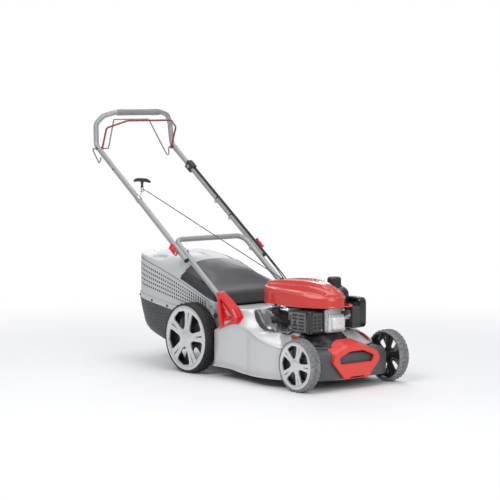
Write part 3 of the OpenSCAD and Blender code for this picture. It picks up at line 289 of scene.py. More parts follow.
# name, colour, roughness, metal, coat, spread of colour, its scale, grain, its scale, worn edges
FINISHES = {
    "deck": ("deck_paint", (0.62, 0.625, 0.63), 0.36, 0.4, 0.45, 0.03, 5, 0.03, 2600, 0, 0.10),
    # dark grey laid over the deck's own paint: painted shade and painted reflection of the engine in the recess beside
    # it, and painted shade on the deck's underside
    "dish": ("dish_paint", (0.20, 0.20, 0.21), 0.42, 0.3, 0.1, 0.1, 9, 0.2, 900, 0),
    "black": ("black_plastic", (0.028, 0.028, 0.030), 0.46, 0, 0, 0.12, 9, 0.35, 1700, 0.35),
    "black_gloss": ("black_enamel", (0.010, 0.010, 0.011), 0.26, 0, 0.4, 0.12, 9, 0.1, 1500, 0.25),
    "apron": ("apron_plastic", (0.082, 0.084, 0.088), 0.42, 0, 0, 0.1, 9, 0.3, 1400, 0.3),
    "carry": ("carry_red", (0.80, 0.055, 0.045), 0.34, 0, 0.2, 0.06, 9, 0.08, 1500, 0.12),
    "red": ("red_plastic", (0.68, 0.012, 0.018), 0.28, 0, 0.3, 0.06, 9, 0.08, 1500, 0.12),
    "cowl": ("cowl_red", (0.64, 0.045, 0.034), 0.26, 0, 0.7, 0.05, 6, 0.04, 500, 0, 0.06),
    "bail_red": ("bail_red", (0.30, 0.010, 0.018), 0.28, 0, 0.4, 0.1, 9, 0.1, 1500, 0.2),
    "tube": ("tube_silver", (0.40, 0.405, 0.41), 0.40, 0.35, 0, 0.03, 20, 0.03, 1200, 0),
    "steel": ("bright_steel", (0.62, 0.63, 0.65), 0.26, 0.95, 0, 0.1, 40, 0.15, 900, 0),
    "plate": ("dark_plate", (0.09, 0.09, 0.095), 0.42, 0.6, 0, 0.15, 30, 0.2, 1500, 0.4),
    "cast": ("cast_alloy", (0.55, 0.56, 0.57), 0.46, 0.75, 0, 0.14, 40, 0.7, 700, 0.3),
    "cover": ("cover_alloy", (0.82, 0.85, 0.85), 0.36, 0.25, 0, 0.06, 30, 0.45, 900, 0),
    "fins": ("dark_fins", (0.075, 0.076, 0.08), 0.5, 0.55, 0, 0.25, 50, 0.5, 600, 0.5),
    "tyre_front": ("tyre_grey", (0.20, 0.202, 0.206), 0.72, 0, 0, 0.2, 60, 0.9, 420, 0.4),
    "tyre_rear": ("tyre_black", (0.012, 0.012, 0.013), 0.62, 0, 0, 0.2, 50, 0.7, 500, 0.15),
    "rim": ("rim_black", (0.022, 0.022, 0.023), 0.34, 0, 0.15, 0.15, 9, 0.15, 1500, 0.3),
    "hub": ("hub_silver", (0.66, 0.665, 0.67), 0.30, 0.55, 0.3, 0.05, 25, 0.08, 1500, 0),
    "hub_dark": ("hub_grey", (0.085, 0.086, 0.09), 0.42, 0.2, 0, 0.1, 25, 0.2, 1500, 0),
    "grip": ("grip_grey", (0.28, 0.282, 0.286), 0.62, 0, 0, 0.08, 40, 0.6, 900, 0, 0.08, 0.15),
    "cord": ("cord_dark", (0.07, 0.07, 0.07), 0.85, 0, 0, 0.25, 400, 0.8, 1400, 0, 0.08, 0.3),
    "cable": ("cable_black", (0.016, 0.016, 0.017), 0.40, 0, 0, 0.15, 60, 0.1, 1500, 0),
    "heat": ("heat_steel", (0.30, 0.26, 0.23), 0.42, 0.85, 0, 0.3, 45, 0.4, 1500, 0),
    "blade": ("blade_steel", (0.40, 0.41, 0.42), 0.34, 0.9, 0, 0.2, 30, 0.3, 1500, 0, 0.08, 0, (8, 1, 1)),
    "belt": ("belt_rubber", (0.02, 0.02, 0.02), 0.7, 0, 0, 0.2, 60, 0.5, 1500, 0),
    "bag": ("box_grey", (0.56, 0.57, 0.58), 0.46, 0.1, 0.1, 0.03, 6, 0.22, 1200, 0),
    "panel": ("guard_grey", (0.17, 0.172, 0.175), 0.36, 0.4, 0.2, 0.1, 9, 0.2, 1500, 0),
    "tray": ("tray_dark", (0.052, 0.054, 0.057), 0.44, 0, 0, 0.1, 8, 0.3, 1300, 0),
    "flap": ("flap_dark", (0.070, 0.071, 0.076), 0.34, 0, 0.12, 0.12, 7, 0.25, 1300, 0),
    "wire": ("wire_grey", (0.30, 0.302, 0.305), 0.34, 0.5, 0, 0.06, 30, 0.08, 1500, 0),
    "chrome": ("bright_chrome", (0.78, 0.79, 0.80), 0.12, 1.0, 0, 0.04, 20, 0, 1500, 0),
}
M = {key: material(*row) for key, row in FINISHES.items()}

# ---------------------------------------------------------------- studio
scene.view_settings.view_transform = "Standard"
world = bpy.data.worlds.new("studio")
scene.world = world
world.use_nodes = True
tree = world.node_tree
sky = tree.nodes["Background"]
feed(tree, sky, {"Color": (0.93, 0.95, 1.0, 1), "Strength": 0.42})
white = add_node(tree, "Background", {"Color": (1, 1, 1, 1)})
direct = add_node(tree, "LightPath", {}).outputs["Is Camera Ray"]
pick = add_node(tree, "MixShader", {"Fac": direct, 1: sky.outputs[0], 2: white.outputs[0]})
feed(tree, tree.nodes["World Output"], {"Surface": pick.outputs[0]})

SOFTBOXES = (("key", (1.2, -3.2, 3.4), (0, 0, 0.3), (2.6, 2.0), 78),
             ("front", (4.2, -0.6, 2.0), (0, 0, 0.3), (2.0, 2.0), 44),
             ("top", (-0.3, 0.8, 4.2), (0, 0, 0.2), (3.4, 2.6), 52),
             ("back", (-3.4, 2.4, 2.4), (0, 0, 0.4), (2.4, 1.8), 40))
for name, spot, target, size, power in SOFTBOXES:
    data = bpy.data.lights.new(name, "AREA")
    data.shape = "RECTANGLE"
    data.size, data.size_y = size
    data.energy = power
    lamp = bpy.data.objects.new(name, data)
    scene.collection.objects.link(lamp)
    lamp.location = spot
    lamp.rotation_euler = (Vector(target) - Vector(spot)).to_track_quat("-Z", "Y").to_euler()

FLOOR_SIZE, FADE_NEAR, FADE_FAR = 60, 0.9, 2.6
bpy.ops.mesh.primitive_plane_add(size=FLOOR_SIZE, location=(0, 0, 0))
floor = bpy.context.object
floor.name = "floor"
paint = bpy.data.materials.new("pale_floor")
paint.use_nodes = True
tree = paint.node_tree
matt = tree.nodes["Principled BSDF"]
feed(tree, matt, {"Base Color": (0.93, 0.93, 0.93, 1), "Roughness": 0.75, "Specular IOR Level": 0.15})
# the camera sees the floor melt into the white behind the mower
spot = add_node(tree, "NewGeometry", {}).outputs["Position"]
far = add_node(tree, "VectorMath", {0: spot}, operation="LENGTH").outputs["Value"]
fade = add_node(tree, "MapRange", {"Value": far, "From Min": FADE_NEAR, "From Max": FADE_FAR},
                interpolation_type="SMOOTHSTEP").outputs[0]
direct = add_node(tree, "LightPath", {}).outputs["Is Camera Ray"]
share = add_node(tree, "Math", {0: fade, 1: direct}, operation="MULTIPLY").outputs[0]
glow = add_node(tree, "Emission", {}).outputs[0]
ground = add_node(tree, "MixShader", {"Fac": share, 1: matt.outputs[0], 2: glow})
feed(tree, tree.nodes["Material Output"], {"Surface": ground.outputs[0]})
floor.data.materials.append(paint)
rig.stage(floor)


# ---------------------------------------------------------------- mesh tools
def lerp(a, b, t):
    return a + (b - a) * t


def clamp(t):
    return min(1.0, max(0.0, t))


def smooth(t):
    t = clamp(t)
    return t * t * (3 - 2 * t)


def sgn_pow(v, e):
    return math.copysign(abs(v) ** e, v)


def bulge(r, lo, hi, power=4.0):
    """0 outside lo..hi and 1 in most of it, with rounded ends."""
    if r <= lo or r >= hi:
        return 0.0
    return (1 - abs(2 * (r - lo) / (hi - lo) - 1) ** power) ** (1 / power)


def turns(n):
    """Cosine and sine of n equal steps round a circle."""
    return [(math.cos(2 * math.pi * i / n), math.sin(2 * math.pi * i / n)) for i in range(n)]


def unit2(a, b):
    d = (b[0] - a[0], b[1] - a[1])
    n = math.hypot(*d) or 1
    return d[0] / n, d[1] / n


def inset(poly, d):
    """Counter-clockwise outline moved inwards by d."""
    out = []
    n = len(poly)
    for i in range(n):
        ux, uy = unit2(poly[i - 1], poly[i])
        vx, vy = unit2(poly[i], poly[(i + 1) % n])
        nx, ny = -uy - vy, ux + vx
        m = math.hypot(nx, ny) or 1
        nx, ny = nx / m, ny / m
        k = max(0.35, -uy * nx + ux * ny)
        out.append((poly[i][0] + nx * d / k, poly[i][1] + ny * d / k))
    return out


def rounded(poly, r, steps=4):
    """Outline with its corners rounded; r is one radius or one for each corner."""
    out = []
    n = len(poly)
    for i in range(n):
        rad = r[i] if isinstance(r, (list, tuple)) else r
        p = Vector(poly[i])
        u = Vector(poly[i - 1]) - p
        v = Vector(poly[(i + 1) % n]) - p
        cut = min(rad / max(math.tan(u.angle(v) / 2), 1e-3), u.length * 0.45, v.length * 0.45)
        if rad <= 0 or cut < 0.05:
            out.append((p.x, p.y))
            continue
        a, b = p + u.normalized() * cut, p + v.normalized() * cut
        for k in range(steps + 1):
            t = k / steps
            q = a * (1 - t) ** 2 + p * 2 * t * (1 - t) + b * t * t
            out.append((q.x, q.y))
    return out


def rect(x0, y0, x1, y1, r=0, steps=4):
    p = [(x0, y0), (x1, y0), (x1, y1), (x0, y1)]
    return rounded(p, r, steps) if r else p


def circle(r, n, cx=0, cy=0):
    return [(cx + r * c, cy + r * s) for c, s in turns(n)]


def both_sides(points):
    """Path from the right side to the left: the points, then their mirror images back."""
    half = [Vector(q) for q in points]
    return half + [Vector((q.x, -q.y, q.z)) for q in reversed(half)]


AXES = {"x": (Y, Z, X), "y": (X, Z, -Y), "z": (X, Y, Z)}


def outwards(side):
    """Axes of a face that looks to the left (1) or to the right (-1)."""
    return X, Z, Y * side


def place(origin, axes):
    """Maps (u, v, w) in millimetres to a point: w runs along the axis."""
    u, v, w = AXES[axes] if isinstance(axes, str) else axes
    o = Vector(origin)
    return lambda a, b, c: o + u * a + v * b + w * c


def frame_along(direction):
    w = Vector(direction).normalized()
    u = Z.cross(w)
    if u.length < 1e-3:
        u = X.cross(w)
    u.normalize()
    return u, w.cross(u), w


class Piece:
    """One object of the visual model, built in millimetres from several shapes."""

    def __init__(self, name):
        self.name, self.bm, self.mats = name, bmesh.new(), []

    def slot(self, mat):
        if mat not in self.mats:
            self.mats.append(mat)
        return self.mats.index(mat)

    def face(self, verts, mat):
        try:
            f = self.bm.faces.new(verts)
            f.material_index = self.slot(mat)
            f.smooth = True
        except ValueError:
            pass

    def verts(self, points):
        return [self.bm.verts.new(Vector(p) * MM) for p in points]

    def bridge(self, a, b, mat, steps=None):
        """Faces between two closed rows of vertices, or at the given steps of them."""
        n = len(a)
        for i in steps or range(n):
            j = (i + 1) % n
            self.face((a[i], a[j], b[j], b[i]), mat)

    def fan(self, row, point, mat):
        """Closes a row of vertices with faces to one point."""
        tip = self.verts([point])[0]
        for a, b in zip(row, row[1:] + row[:1]):
            self.face((a, b, tip), mat)

    def paint(self, mat, chosen):
        """Gives another material to the faces whose middle, in millimetres, is chosen."""
        for f in self.bm.faces:
            if chosen(f.calc_center_median() / MM):
                f.material_index = self.slot(mat)

    def cut(self, chosen):
        """Removes the faces whose middle is chosen."""
        drop = [f for f in self.bm.faces if chosen(f.calc_center_median() / MM)]
        bmesh.ops.delete(self.bm, geom=drop, context="FACES")

    def loft(self, rings, mat, low=False, high=False):
        """Skin over rings of as many points each, closed at the first or last one if asked."""
        rows = [self.verts(r) for r in rings]
        for a, b in zip(rows, rows[1:]):
            self.bridge(a, b, mat)
        if low:
            self.face(rows[0][::-1], mat)
        if high:
            self.face(rows[-1], mat)
        return rows

    def prism(self, poly, at, w0, w1, mat, edge=1.0, both=True):
        """Outline from w0 to w1, with its edges cut off at the end or at both."""
        slim = inset(poly, edge)
        rows = [(slim, w0), (poly, w0 + edge)] if edge and both else [(poly, w0)]
        rows += [(poly, w1 - edge), (slim, w1)] if edge else [(poly, w1)]
        self.loft([[at(u, v, w) for u, v in row] for row, w in rows], mat, True, True)

    def box(self, lo, hi, mat, r=2.0, edge=1.0, axis="z"):
        at = place((0, 0, 0), axis)
        if axis == "z":
            self.prism(rect(lo[0], lo[1], hi[0], hi[1], r), at, lo[2], hi[2], mat, edge)
        else:
            self.prism(rect(lo[0], lo[2], hi[0], hi[2], r), at, -hi[1], -lo[1], mat, edge)

    def lathe(self, profile, at, mat, n=40, low=False, high=False):
        """Round body from a profile of (radius, height)."""
        self.loft([[at(r * c, r * s, h) for c, s in turns(n)] for r, h in profile], mat, low, high)

    def rod(self, a, b, r, mat, edge=0.6):
        a, b = Vector(a), Vector(b)
        length = (b - a).length
        profile = [(r - edge, 0), (r, edge), (r, length - edge), (r - edge, length)]
        self.lathe(profile, place(a, frame_along(b - a)), mat, 20, True, True)

    def tube(self, points, r, mat, bend=0.0, n=16, arc=6):
        """Round bar along the points; arc is the number of steps in each bend."""
        pts = [Vector(p) for p in points]
        path = [pts[0]]
        for before, here, after in zip(pts, pts[1:], pts[2:]):
            u, v = before - here, after - here
            turn = math.pi - u.angle(v)
            cut = min(bend * math.tan(turn / 2), u.length * 0.49, v.length * 0.49)
            if bend <= 0 or turn < 0.03:
                path.append(here)
                continue
            u.normalize()
            v.normalize()
            real = cut / math.tan(turn / 2)
            centre = here + (u + v).normalized() * real / math.cos(turn / 2)
            start = here + u * cut - centre
            axis = (-u).cross(v).normalized()
            path += [centre + Matrix.Rotation(turn * k / arc, 3, axis) @ start for k in range(arc + 1)]
        path.append(pts[-1])
        side = None
        rings = []
        for i, p in enumerate(path):
            d = (path[min(i + 1, len(path) - 1)] - path[max(i - 1, 0)]).normalized()
            if side is None:
                side = frame_along(d)[0]
            side = (side - d * side.dot(d)).normalized()
            up = d.cross(side)
            rings.append([p + r * (side * c + up * s) for c, s in turns(n)])
        self.loft(rings, mat, True, True)

    def ring_plate(self, outer, inner, at, w0, w1, mat, edge=1.0):
        """Plate between two outlines with as many points each."""
        slim, wide = inset(outer, edge), inset(inner, -edge)
        loops = ((outer, w0 + edge), (outer, w1 - edge), (slim, w1), (wide, w1), (inner, w1 - edge),
                 (inner, w0 + edge), (wide, w0), (slim, w0))
        rows = [self.verts([at(u, v, w) for u, v in loop]) for loop, w in loops]
        for a, b in zip(rows, rows[1:] + rows[:1]):
            self.bridge(a, b, mat)

    def done(self, body, slot, *nodes, sharp=34):
        """Ends the piece: it rides a body, shows a material slot and stands for CAD nodes."""
        bmesh.ops.remove_doubles(self.bm, verts=self.bm.verts, dist=1e-6)
        bmesh.ops.recalc_face_normals(self.bm, faces=self.bm.faces)
        mesh = bpy.data.meshes.new(self.name)
        self.bm.to_mesh(mesh)
        self.bm.free()
        for key in self.mats:
            mesh.materials.append(M[key])
        mesh.set_sharp_from_angle(angle=math.radians(sharp))
        obj = bpy.data.objects.new(self.name, mesh)
        scene.collection.objects.link(obj)
        if body:
            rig.ride(obj, body)
        if nodes:
            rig.replaces(obj, *nodes)
        if slot:
            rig.slot(obj, slot)
        return obj


def resample(loop, n):
    """n points of a closed outline at equal steps of angle round the origin."""
    out = []
    for dx, dy in turns(n):
        best = None
        for (x1, y1), (x2, y2) in zip(loop[-1:] + loop[:-1], loop):
            den = dx * (y2 - y1) - dy * (x2 - x1)
            if abs(den) < 1e-9:
                continue
            t = (x1 * (y2 - y1) - y1 * (x2 - x1)) / den
            s = (x1 * dy - y1 * dx) / den
            if t > 0 and -1e-6 <= s <= 1 + 1e-6 and (best is None or t > best):
                best = t
        out.append((dx * best, dy * best))
    return out


WASHER, HEAD_HEIGHT, HEAD_EDGE = 1.3, 0.62, 0.14


def bolt(p, at, w, r, mat, washer=0.0):
    """Hexagon head with a washer under it; w is the height of the face that it sits on."""
    base = w
    if washer:
        base = w + WASHER
        p.lathe([(washer, w), (washer, w + 0.9), (washer - 0.5, base), (r, base)], at, mat, 24)
    p.prism(circle(r, 6), at, base, base + r * HEAD_HEIGHT, mat, r * HEAD_EDGE, False)


# ---------------------------------------------------------------- deck
DECK_R, DECK_C, DECK_WALL = 252, CX - 110, 2.6
DECK_BACK, NECK_BACK = RX + 148, RX + 99
PANEL, NECK = 240, 165
NOTCH_X, NOTCH_Y = FX - FR - 4, 196.5
# oval recess beside the engine: middle, half length (shorter ahead of the middle) and half width
DISH_X, DISH_Y, DISH_LONG, DISH_WIDE, DISH_AHEAD = CX - 34, 126, 122, 64, 0.76


def chamber_hit(a, r):
    """Distance from the deck's middle to the round chamber of radius r, in the direction a."""
    b = (CX - DECK_C) * math.cos(a)
    q = b * b - (CX - DECK_C) ** 2 + r * r
    return 0 if q < 0 else b + math.sqrt(q)


def box_hit(a, x_low, half):
    """Distance to the rectangle behind the chamber, in the direction a."""
    c, s = math.cos(a), math.sin(a)
    return min((x_low - DECK_C) / c if c < -1e-4 else 1e4, half / abs(s) if abs(s) > 1e-4 else 1e4,
               (CX - DECK_C) / c if c > 1e-4 else 1e4)


def deck_reach(a, ins):
    """Distance from the deck's middle to its outline, in the direction a."""
    c, s = math.cos(a), math.sin(a)
    notch = 1e4
    if c > 1e-4 and abs(s) >= 1e-4:
        notch = max((NOTCH_Y - ins) / abs(s), (NOTCH_X - ins - DECK_C) / c)
    return min(notch, max(chamber_hit(a, DECK_R - ins), box_hit(a, DECK_BACK + ins, PANEL - ins),
                          box_hit(a, NECK_BACK + ins, NECK - ins)))


def shoulder_z(x):
    """Height at which the deck's side turns over into its top."""
    return 160 + 60 * (1 - smooth((x - 270) / 290)) - 30 * smooth((DECK_BACK + 130 - x) / 130)


def deck_rim(x):
    return 44 - 10 * smooth((x - DECK_BACK - 90) / 110)


def deck_top(x):
    return lerp(271, 204, smooth((x - DECK_BACK - 130) / 130))


def dish_rho(x, y):
    """1 on the rim of the oval recess beside the engine, on either side."""
    long = DISH_LONG * (DISH_AHEAD if x > DISH_X else 1)
    return math.hypot((x - DISH_X) / long, (abs(y) - DISH_Y) / DISH_WIDE)


def dish_floor(x, y, z):
    """Height inside the recess beside the engine, for a point where the deck would lie at z."""
    low = lerp(196, 168, smooth((x - 300) / 140))
    return lerp(min(z, low), z, smooth((dish_rho(x, y) - 0.66) / 0.34) ** 1.3)


def sunk(x, y, z):
    """Height of the deck's own sheet, which passes below the recess's skin."""
    return dish_floor(x, y, z) - 3.5 if z > 130 and dish_rho(x, y) < 0.93 else z


# (inset at the back, inset at the front, height over the rim)
DECK_SKIRT = [(-2.5, -2.5, -1), (-2.5, -2.5, 4), (0, 0, 9), (0, 0, 34)]
# (inset at the back, inset at the front, rise from the shoulder to the top, extra height)
DECK_STEPS = [(0, 0, 0, -13), (0.6, 0.6, 0, -7), (2.5, 2.6, 0, -2.6), (5, 5.5, 0, -0.3), (8, 10, 0.015, 0),
              (11, 15, 0.05, 0), (13.5, 21, 0.13, 0), (15, 27, 0.21, 0), (17, 33, 0.3, 0), (19, 40, 0.39, 0),
              (21, 48, 0.48, 0), (23, 54, 0.56, 0), (25, 60, 0.64, 0), (27, 66, 0.72, 0), (29, 72, 0.80, 0),
              (31, 78, 0.87, 0), (33, 83, 0.92, 0), (37, 93, 0.985, 0), (41, 99, 0.997, 0), (46, 106, 1, 0),
              (52, 112, 1, 0), (60, 118, 1, 0), (80, 132, 1, 0), (104, 148, 1, 0), (132, 168, 1, 0),
              (160, 196, 1, 0)]


def make_deck():
    n = 288
    angles = [2 * math.pi * i / n for i in range(n)]

    def ring(back, front, height):
        points = []
        for a in angles:
            reach_x = DECK_C + deck_reach(a, 0) * math.cos(a)
            ins = lerp(back, front, smooth((reach_x - DECK_BACK - 10) / 190))
            r = max(deck_reach(a, min(ins, 60)) - max(0, ins - 60), 12)
            x, y = DECK_C + r * math.cos(a), r * math.sin(a)
            points.append((x, y, height(x)))
        return points

    rings = [ring(back, front, lambda x: deck_rim(x) + up) for back, front, up in DECK_SKIRT]
    rings += [ring(0, 0, lambda x: lerp(deck_rim(x) + 34, shoulder_z(x) - 13, share))
              for share in (0.45, 0.8)]
    rings += [ring(back, front, lambda x: lerp(shoulder_z(x), deck_top(x), rise) + extra)
              for back, front, rise, extra in DECK_STEPS]
    p = Piece("deck_body")
    rows = p.loft([[(x, y, sunk(x, y, z)) for x, y, z in ring] for ring in rings], "deck")
    # the top is painted black under and around the muffler's guard: painted shade under the guard and painted
    # reflection of it in the glossy deck
    p.paint("black_gloss", lambda c: c.z > 142 and c.x > CX + 104 and -206 < c.y < 24)
    p.fan(rows[-1], (DECK_C, 0, deck_top(DECK_C)), "deck")
    # inner skin, seen from below, dark grey as painted shade under the deck
    low = []
    for k, ring in enumerate(rings[:1] + rings[3:]):
        down = DECK_WALL if k else 0
        low.append([(x - DECK_WALL * math.cos(a), y - DECK_WALL * math.sin(a), sunk(x, y, z) - down)
                    for (x, y, z), a in zip(ring, angles)])
    inner = p.loft(low, "dish")
    p.bridge(rows[0], inner[0], "deck")
    p.fan(inner[-1], (DECK_C, 0, deck_top(DECK_C) - DECK_WALL), "dish")
    p.done("deck", "deck_paint", "deck_shell", sharp=40)


make_deck()


# ---------------------------------------------------------------- wheels
SPOKES = 5
HALF_STEP = 180 // SPOKES
RIB = 1.4


def spoked_disc(p, at, front, back, r_in, r_out, hole, slit, mat, turn, n_rings=30):
    """Disc from front(r) to back(r) with openings hole(r) and slits slit(r), both half angles in degrees."""
    half = 180 / SPOKES
    radii = [r_in + (r_out - r_in) * i / n_rings for i in range(n_rings + 1)]

    def columns(r):
        h, s = hole(r), slit(r)
        kinds, stops = [], []
        for lo, hi, k, kind in ((-half, -half + h, 3, "hole" if h > 0 else None), (-half + h, -s, 5, "solid"),
                                (-s, s, 1, "slit" if s > 0 else None), (s, half - h, 5, "solid"),
                                (half - h, half, 3, "hole" if h > 0 else None)):
            stops += [lo + (hi - lo) * i / k for i in range(k)]
            kinds += [kind] * k
        return stops + [half], kinds

    def panel(base, corners):
        angles = [math.radians(base + a) for _, a, _ in corners]
        p.face(p.verts([at(r * math.cos(t), r * math.sin(t), side(r))
                        for (r, _, side), t in zip(corners, angles)]), mat)

    for sector in range(SPOKES):
        base = turn + sector * 2 * half
        for r0, r1 in zip(radii, radii[1:]):
            (a0, k0), (a1, k1) = columns(r0), columns(r1)
            kinds = [one or two for one, two in zip(k0, k1)]
            for i, kind in enumerate(kinds):
                if kind in ("solid", None):
                    for side in (front, back):
                        panel(base, [(r0, a0[i], side), (r0, a0[i + 1], side), (r1, a1[i + 1], side),
                                     (r1, a1[i], side)])
            for i, (left, right) in enumerate(zip(kinds, kinds[1:]), 1):
                if None not in (left, right) and (left == "solid") != (right == "solid"):
                    panel(base, [(r0, a0[i], front), (r1, a1[i], front), (r1, a1[i], back),
                                 (r0, a0[i], back)])


def lug(p, at, stations, mat):
    """Tread block: stations of (w, middle angle, half angle, inner radius, outer radius)."""
    rings = []
    for w, a, h, r0, r1 in stations:
        rings.append([at(r * math.cos(math.radians(t)), r * math.sin(math.radians(t)), w)
                      for t, r in ((a - h, r0), (a + h, r0), (a + h * 0.85, r1), (a - h * 0.85, r1))])
    p.loft(rings, mat, True, True)


def make_tyre(tag, at, r, ri, w, rear):
    rubber = "tyre_rear" if rear else "tyre_front"
    p = Piece("tyre_skin_" + tag)
    base = r - 3.2
    wall = [(ri, 4), (ri + 0.6, 1.6), (ri + 2.4, 0.5), (ri + 3.6, 0.9), (ri + 4.4, 0.6), (r - 5.4, 1.8),
            (base - 0.8, 4.4), (base, 8)]
    p.lathe(wall + [(q, w - h) for q, h in reversed(wall)] + wall[:1], at, rubber, 96)
    count = 30 if rear else 34
    step = 360 / count
    lean = step * (0.55 if rear else 0.3)
    # (distance from the side, share of the lean, share of the step, lower radius, upper radius)
    block = [(1.9, -1, 0.25, r - 6.5, r - 4.6), (4.6, -0.8, 0.25, base - 2, r - 1.6),
             (8, -0.5, 0.24, base - 1, r - 0.15), (w * 0.3, 0.3, 0.2, base - 1, r - 0.05),
             (w * 0.47, 1.2, 0.12, base - 1, r - 0.3)]
    small = [(w * 0.37, -1.4, 0.13, base - 1, r - 0.4), (w * 0.49, -0.4, 0.15, base - 1, r - 0.3)]
    for i in range(count):
        for far, shift in ((False, 0), (True, step / 2)):
            for stations in [block] if rear else [block, small]:
                lug(p, at, [(w - v if far else v, i * step + shift + lean * tilt, step * half, low, high)
                            for v, tilt, half, low, high in stations], rubber)
    p.done("wheel_" + tag, rubber, "tyre_" + tag, sharp=30)


def make_wheel(tag, x, side, r, half_track, w, turn):
    at = place((x, side * half_track, r), outwards(-side))
    body = "wheel_" + tag
    rear = x == RX
    ri = r - 11
    make_tyre(tag, at, r, ri, w, rear)

    p = Piece("hubcap_face_" + tag)
    ro = ri - 0.3

    def front(q):
        t = q / ro
        if t < 0.16:
            return 1.6
        if t < 0.24:
            return 1.6 + 1.6 * smooth((t - 0.16) / 0.08)
        if t < 0.86:
            return 3.2 + 1.2 * math.sin(math.pi * (t - 0.24) / 0.62)
        if t < 0.9:
            return 3.2 - 2.2 * smooth((t - 0.86) / 0.04)
        return 1.0 + 1.2 * smooth((t - 0.95) / 0.05)

    spoked_disc(p, at, front, lambda q: front(q) + 5.5, ro * 0.02, ro,
                lambda q: bulge(q, ro * 0.31, ro * 0.86, 4.4) * (18 + 13 * (q / ro - 0.31)),
                lambda q: bulge(q, ro * 0.50, ro * 0.82, 3) * (1.2 + 2.4 * (q / ro - 0.5)), "hub", turn)
    p.lathe([(ro, 2.2), (ro + 0.2, 4), (ro + 0.2, 9), (ro - 2, 9.5), (ro - 3, 7)], at, "hub", 80)
    p.lathe([(ro * 0.02, 7.1), (ro * 0.02, 1.6)], at, "hub", 16, True, True)
    p.lathe([(ro * 0.14, 1.6), (ro * 0.13, 0.7), (ro * 0.10, 0.5)], at, "hub", 40, False, True)
    p.done(body, "hub_silver", "hubcap_" + tag, sharp=28)

    p = Piece("rim_body_" + tag)
    mid = w / 2 + 2
    p.lathe([(ri - 0.3, 10), (ri - 0.3, w - 4), (ri - 0.8, w - 1.6), (ri - 2.4, w - 1.2), (ri - 3.4, w - 2.4),
             (ri - 4.2, w - 9), (ri - 5.4, mid + 6), (ri - 5.4, mid - 4), (ri - 4.4, 11), (ri - 0.3, 10)],
            at, "rim", 80)
    spoked_disc(p, at, lambda q: mid - 4 - 3 * smooth((ri * 0.4 - q) / (ri * 0.2)), lambda q: mid + 5,
                9, ri - 5, lambda q: bulge(q, ri * 0.34, ri * 0.9, 4) * 21, lambda q: 0.0,
                "rim", turn + HALF_STEP, 16)
    p.lathe([(9, 12), (17, 12), (18, 13), (18, w - 3), (17, w - 2), (9, w - 2)], at, "rim", 40)
    for k in range(SPOKES):
        t = math.radians(turn + HALF_STEP * (2 * k + 1))
        a, b = Vector((math.cos(t), math.sin(t))), Vector((-math.sin(t), math.cos(t)))
        rib = [a * 17 - b * RIB, a * (ri - 5) - b * RIB, a * (ri - 5) + b * RIB, a * 17 + b * RIB]
        p.prism([tuple(q) for q in rib], at, mid + 4.5, mid + 11, "rim", 0.6)
    p.done(body, "rim_black", "rim_" + tag, sharp=32)

    p = Piece("wheel_bolt_" + tag)
    p.lathe([(7.0, w - 2.4), (10.5, w - 2.2), (10.5, w - 0.4), (7.2, w - 0.2)], at, "steel", 32)
    p.prism(circle(6.2, 6), at, 10.3, 15.8, "steel", 0.6)
    p.done(body, None)


for wheel in (("fr", FX, -1, 100, 249, 48, -2), ("fl", FX, 1, 100, 249, 48, 43),
              ("rr", RX, -1, 140, 272, 64, 8), ("rl", RX, 1, 140, 272, 64, 20)):
    make_wheel(*wheel)


# ---------------------------------------------------------------- cowl
def units(e_front, e_back, front, back, half, n):
    """n points at equal steps along a rounded outline, as shares of its half length and half width."""
    dense = [(sgn_pow(c, e_front if c > 0 else e_back), sgn_pow(s, e_front if c > 0 else e_back))
             for c, s in turns(2400)]
    scaled = [(kx * (front if kx > 0 else back), ky * half) for kx, ky in dense]
    total = [0.0]
    for a, b in zip(scaled, scaled[1:] + scaled[:1]):
        total.append(total[-1] + math.dist(b, a))
    out, k = [], 0
    for i in range(n):
        goal = total[-1] * i / n
        while total[k + 1] < goal:
            k += 1
        t = (goal - total[k]) / max(1e-9, total[k + 1] - total[k])
        a, b = dense[k % len(dense)], dense[(k + 1) % len(dense)]
        out.append((lerp(a[0], b[0], t), lerp(a[1], b[1], t)))
    return out


COWL_C, COWL_L, COWL_W, COWL_Z = FX - 204, 204, 121, 298
TANK_SIDE = 0.78
CAP = (FX - 172, 98)
CAP_ROOM = 35
# the inner skin: shares of the outer one's length and width, and how far it lies below it
INNER_LONG, INNER_WIDE, COWL_SIDE, COWL_TOP = 0.985, 0.975, 2.6, 9
COWL_UNITS = units(0.9, 0.67, COWL_L, COWL_L, COWL_W, 240)


def crest(x):
    """Height of the cowl along its middle line."""
    return 391.6 - (0.0003 if x < COWL_C else 0.0009) * (x - COWL_C) ** 2


def cowl_edge(x):
    """Height at which the cowl's side wall turns over into its top."""
    return lerp(366, 337, clamp((x - 246) / 380))


def cowl_outline(k, ins):
    """Outline of the dome, which is narrower on the tank's side and pushed away from the fuel cap."""
    kx, ky = k
    length = 190 - 14 * smooth((ky + 0.1) / 0.6) if kx > 0 else COWL_L
    x = COWL_C + (length - ins) * kx
    y = (COWL_W - ins * 0.8) * ky * (TANK_SIDE if ky > 0 else 1)
    away = Vector((x - CAP[0], y - CAP[1], 0))
    if away.length < CAP_ROOM:
        away = away.normalized() * CAP_ROOM
        x, y = CAP[0] + away.x, CAP[1] + away.y
    return x, y


def step_up(t):
    """0 below, 1 above, with a short rounding at both ends."""
    t = clamp(t)
    return t - 0.08 * math.sin(2 * math.pi * t)


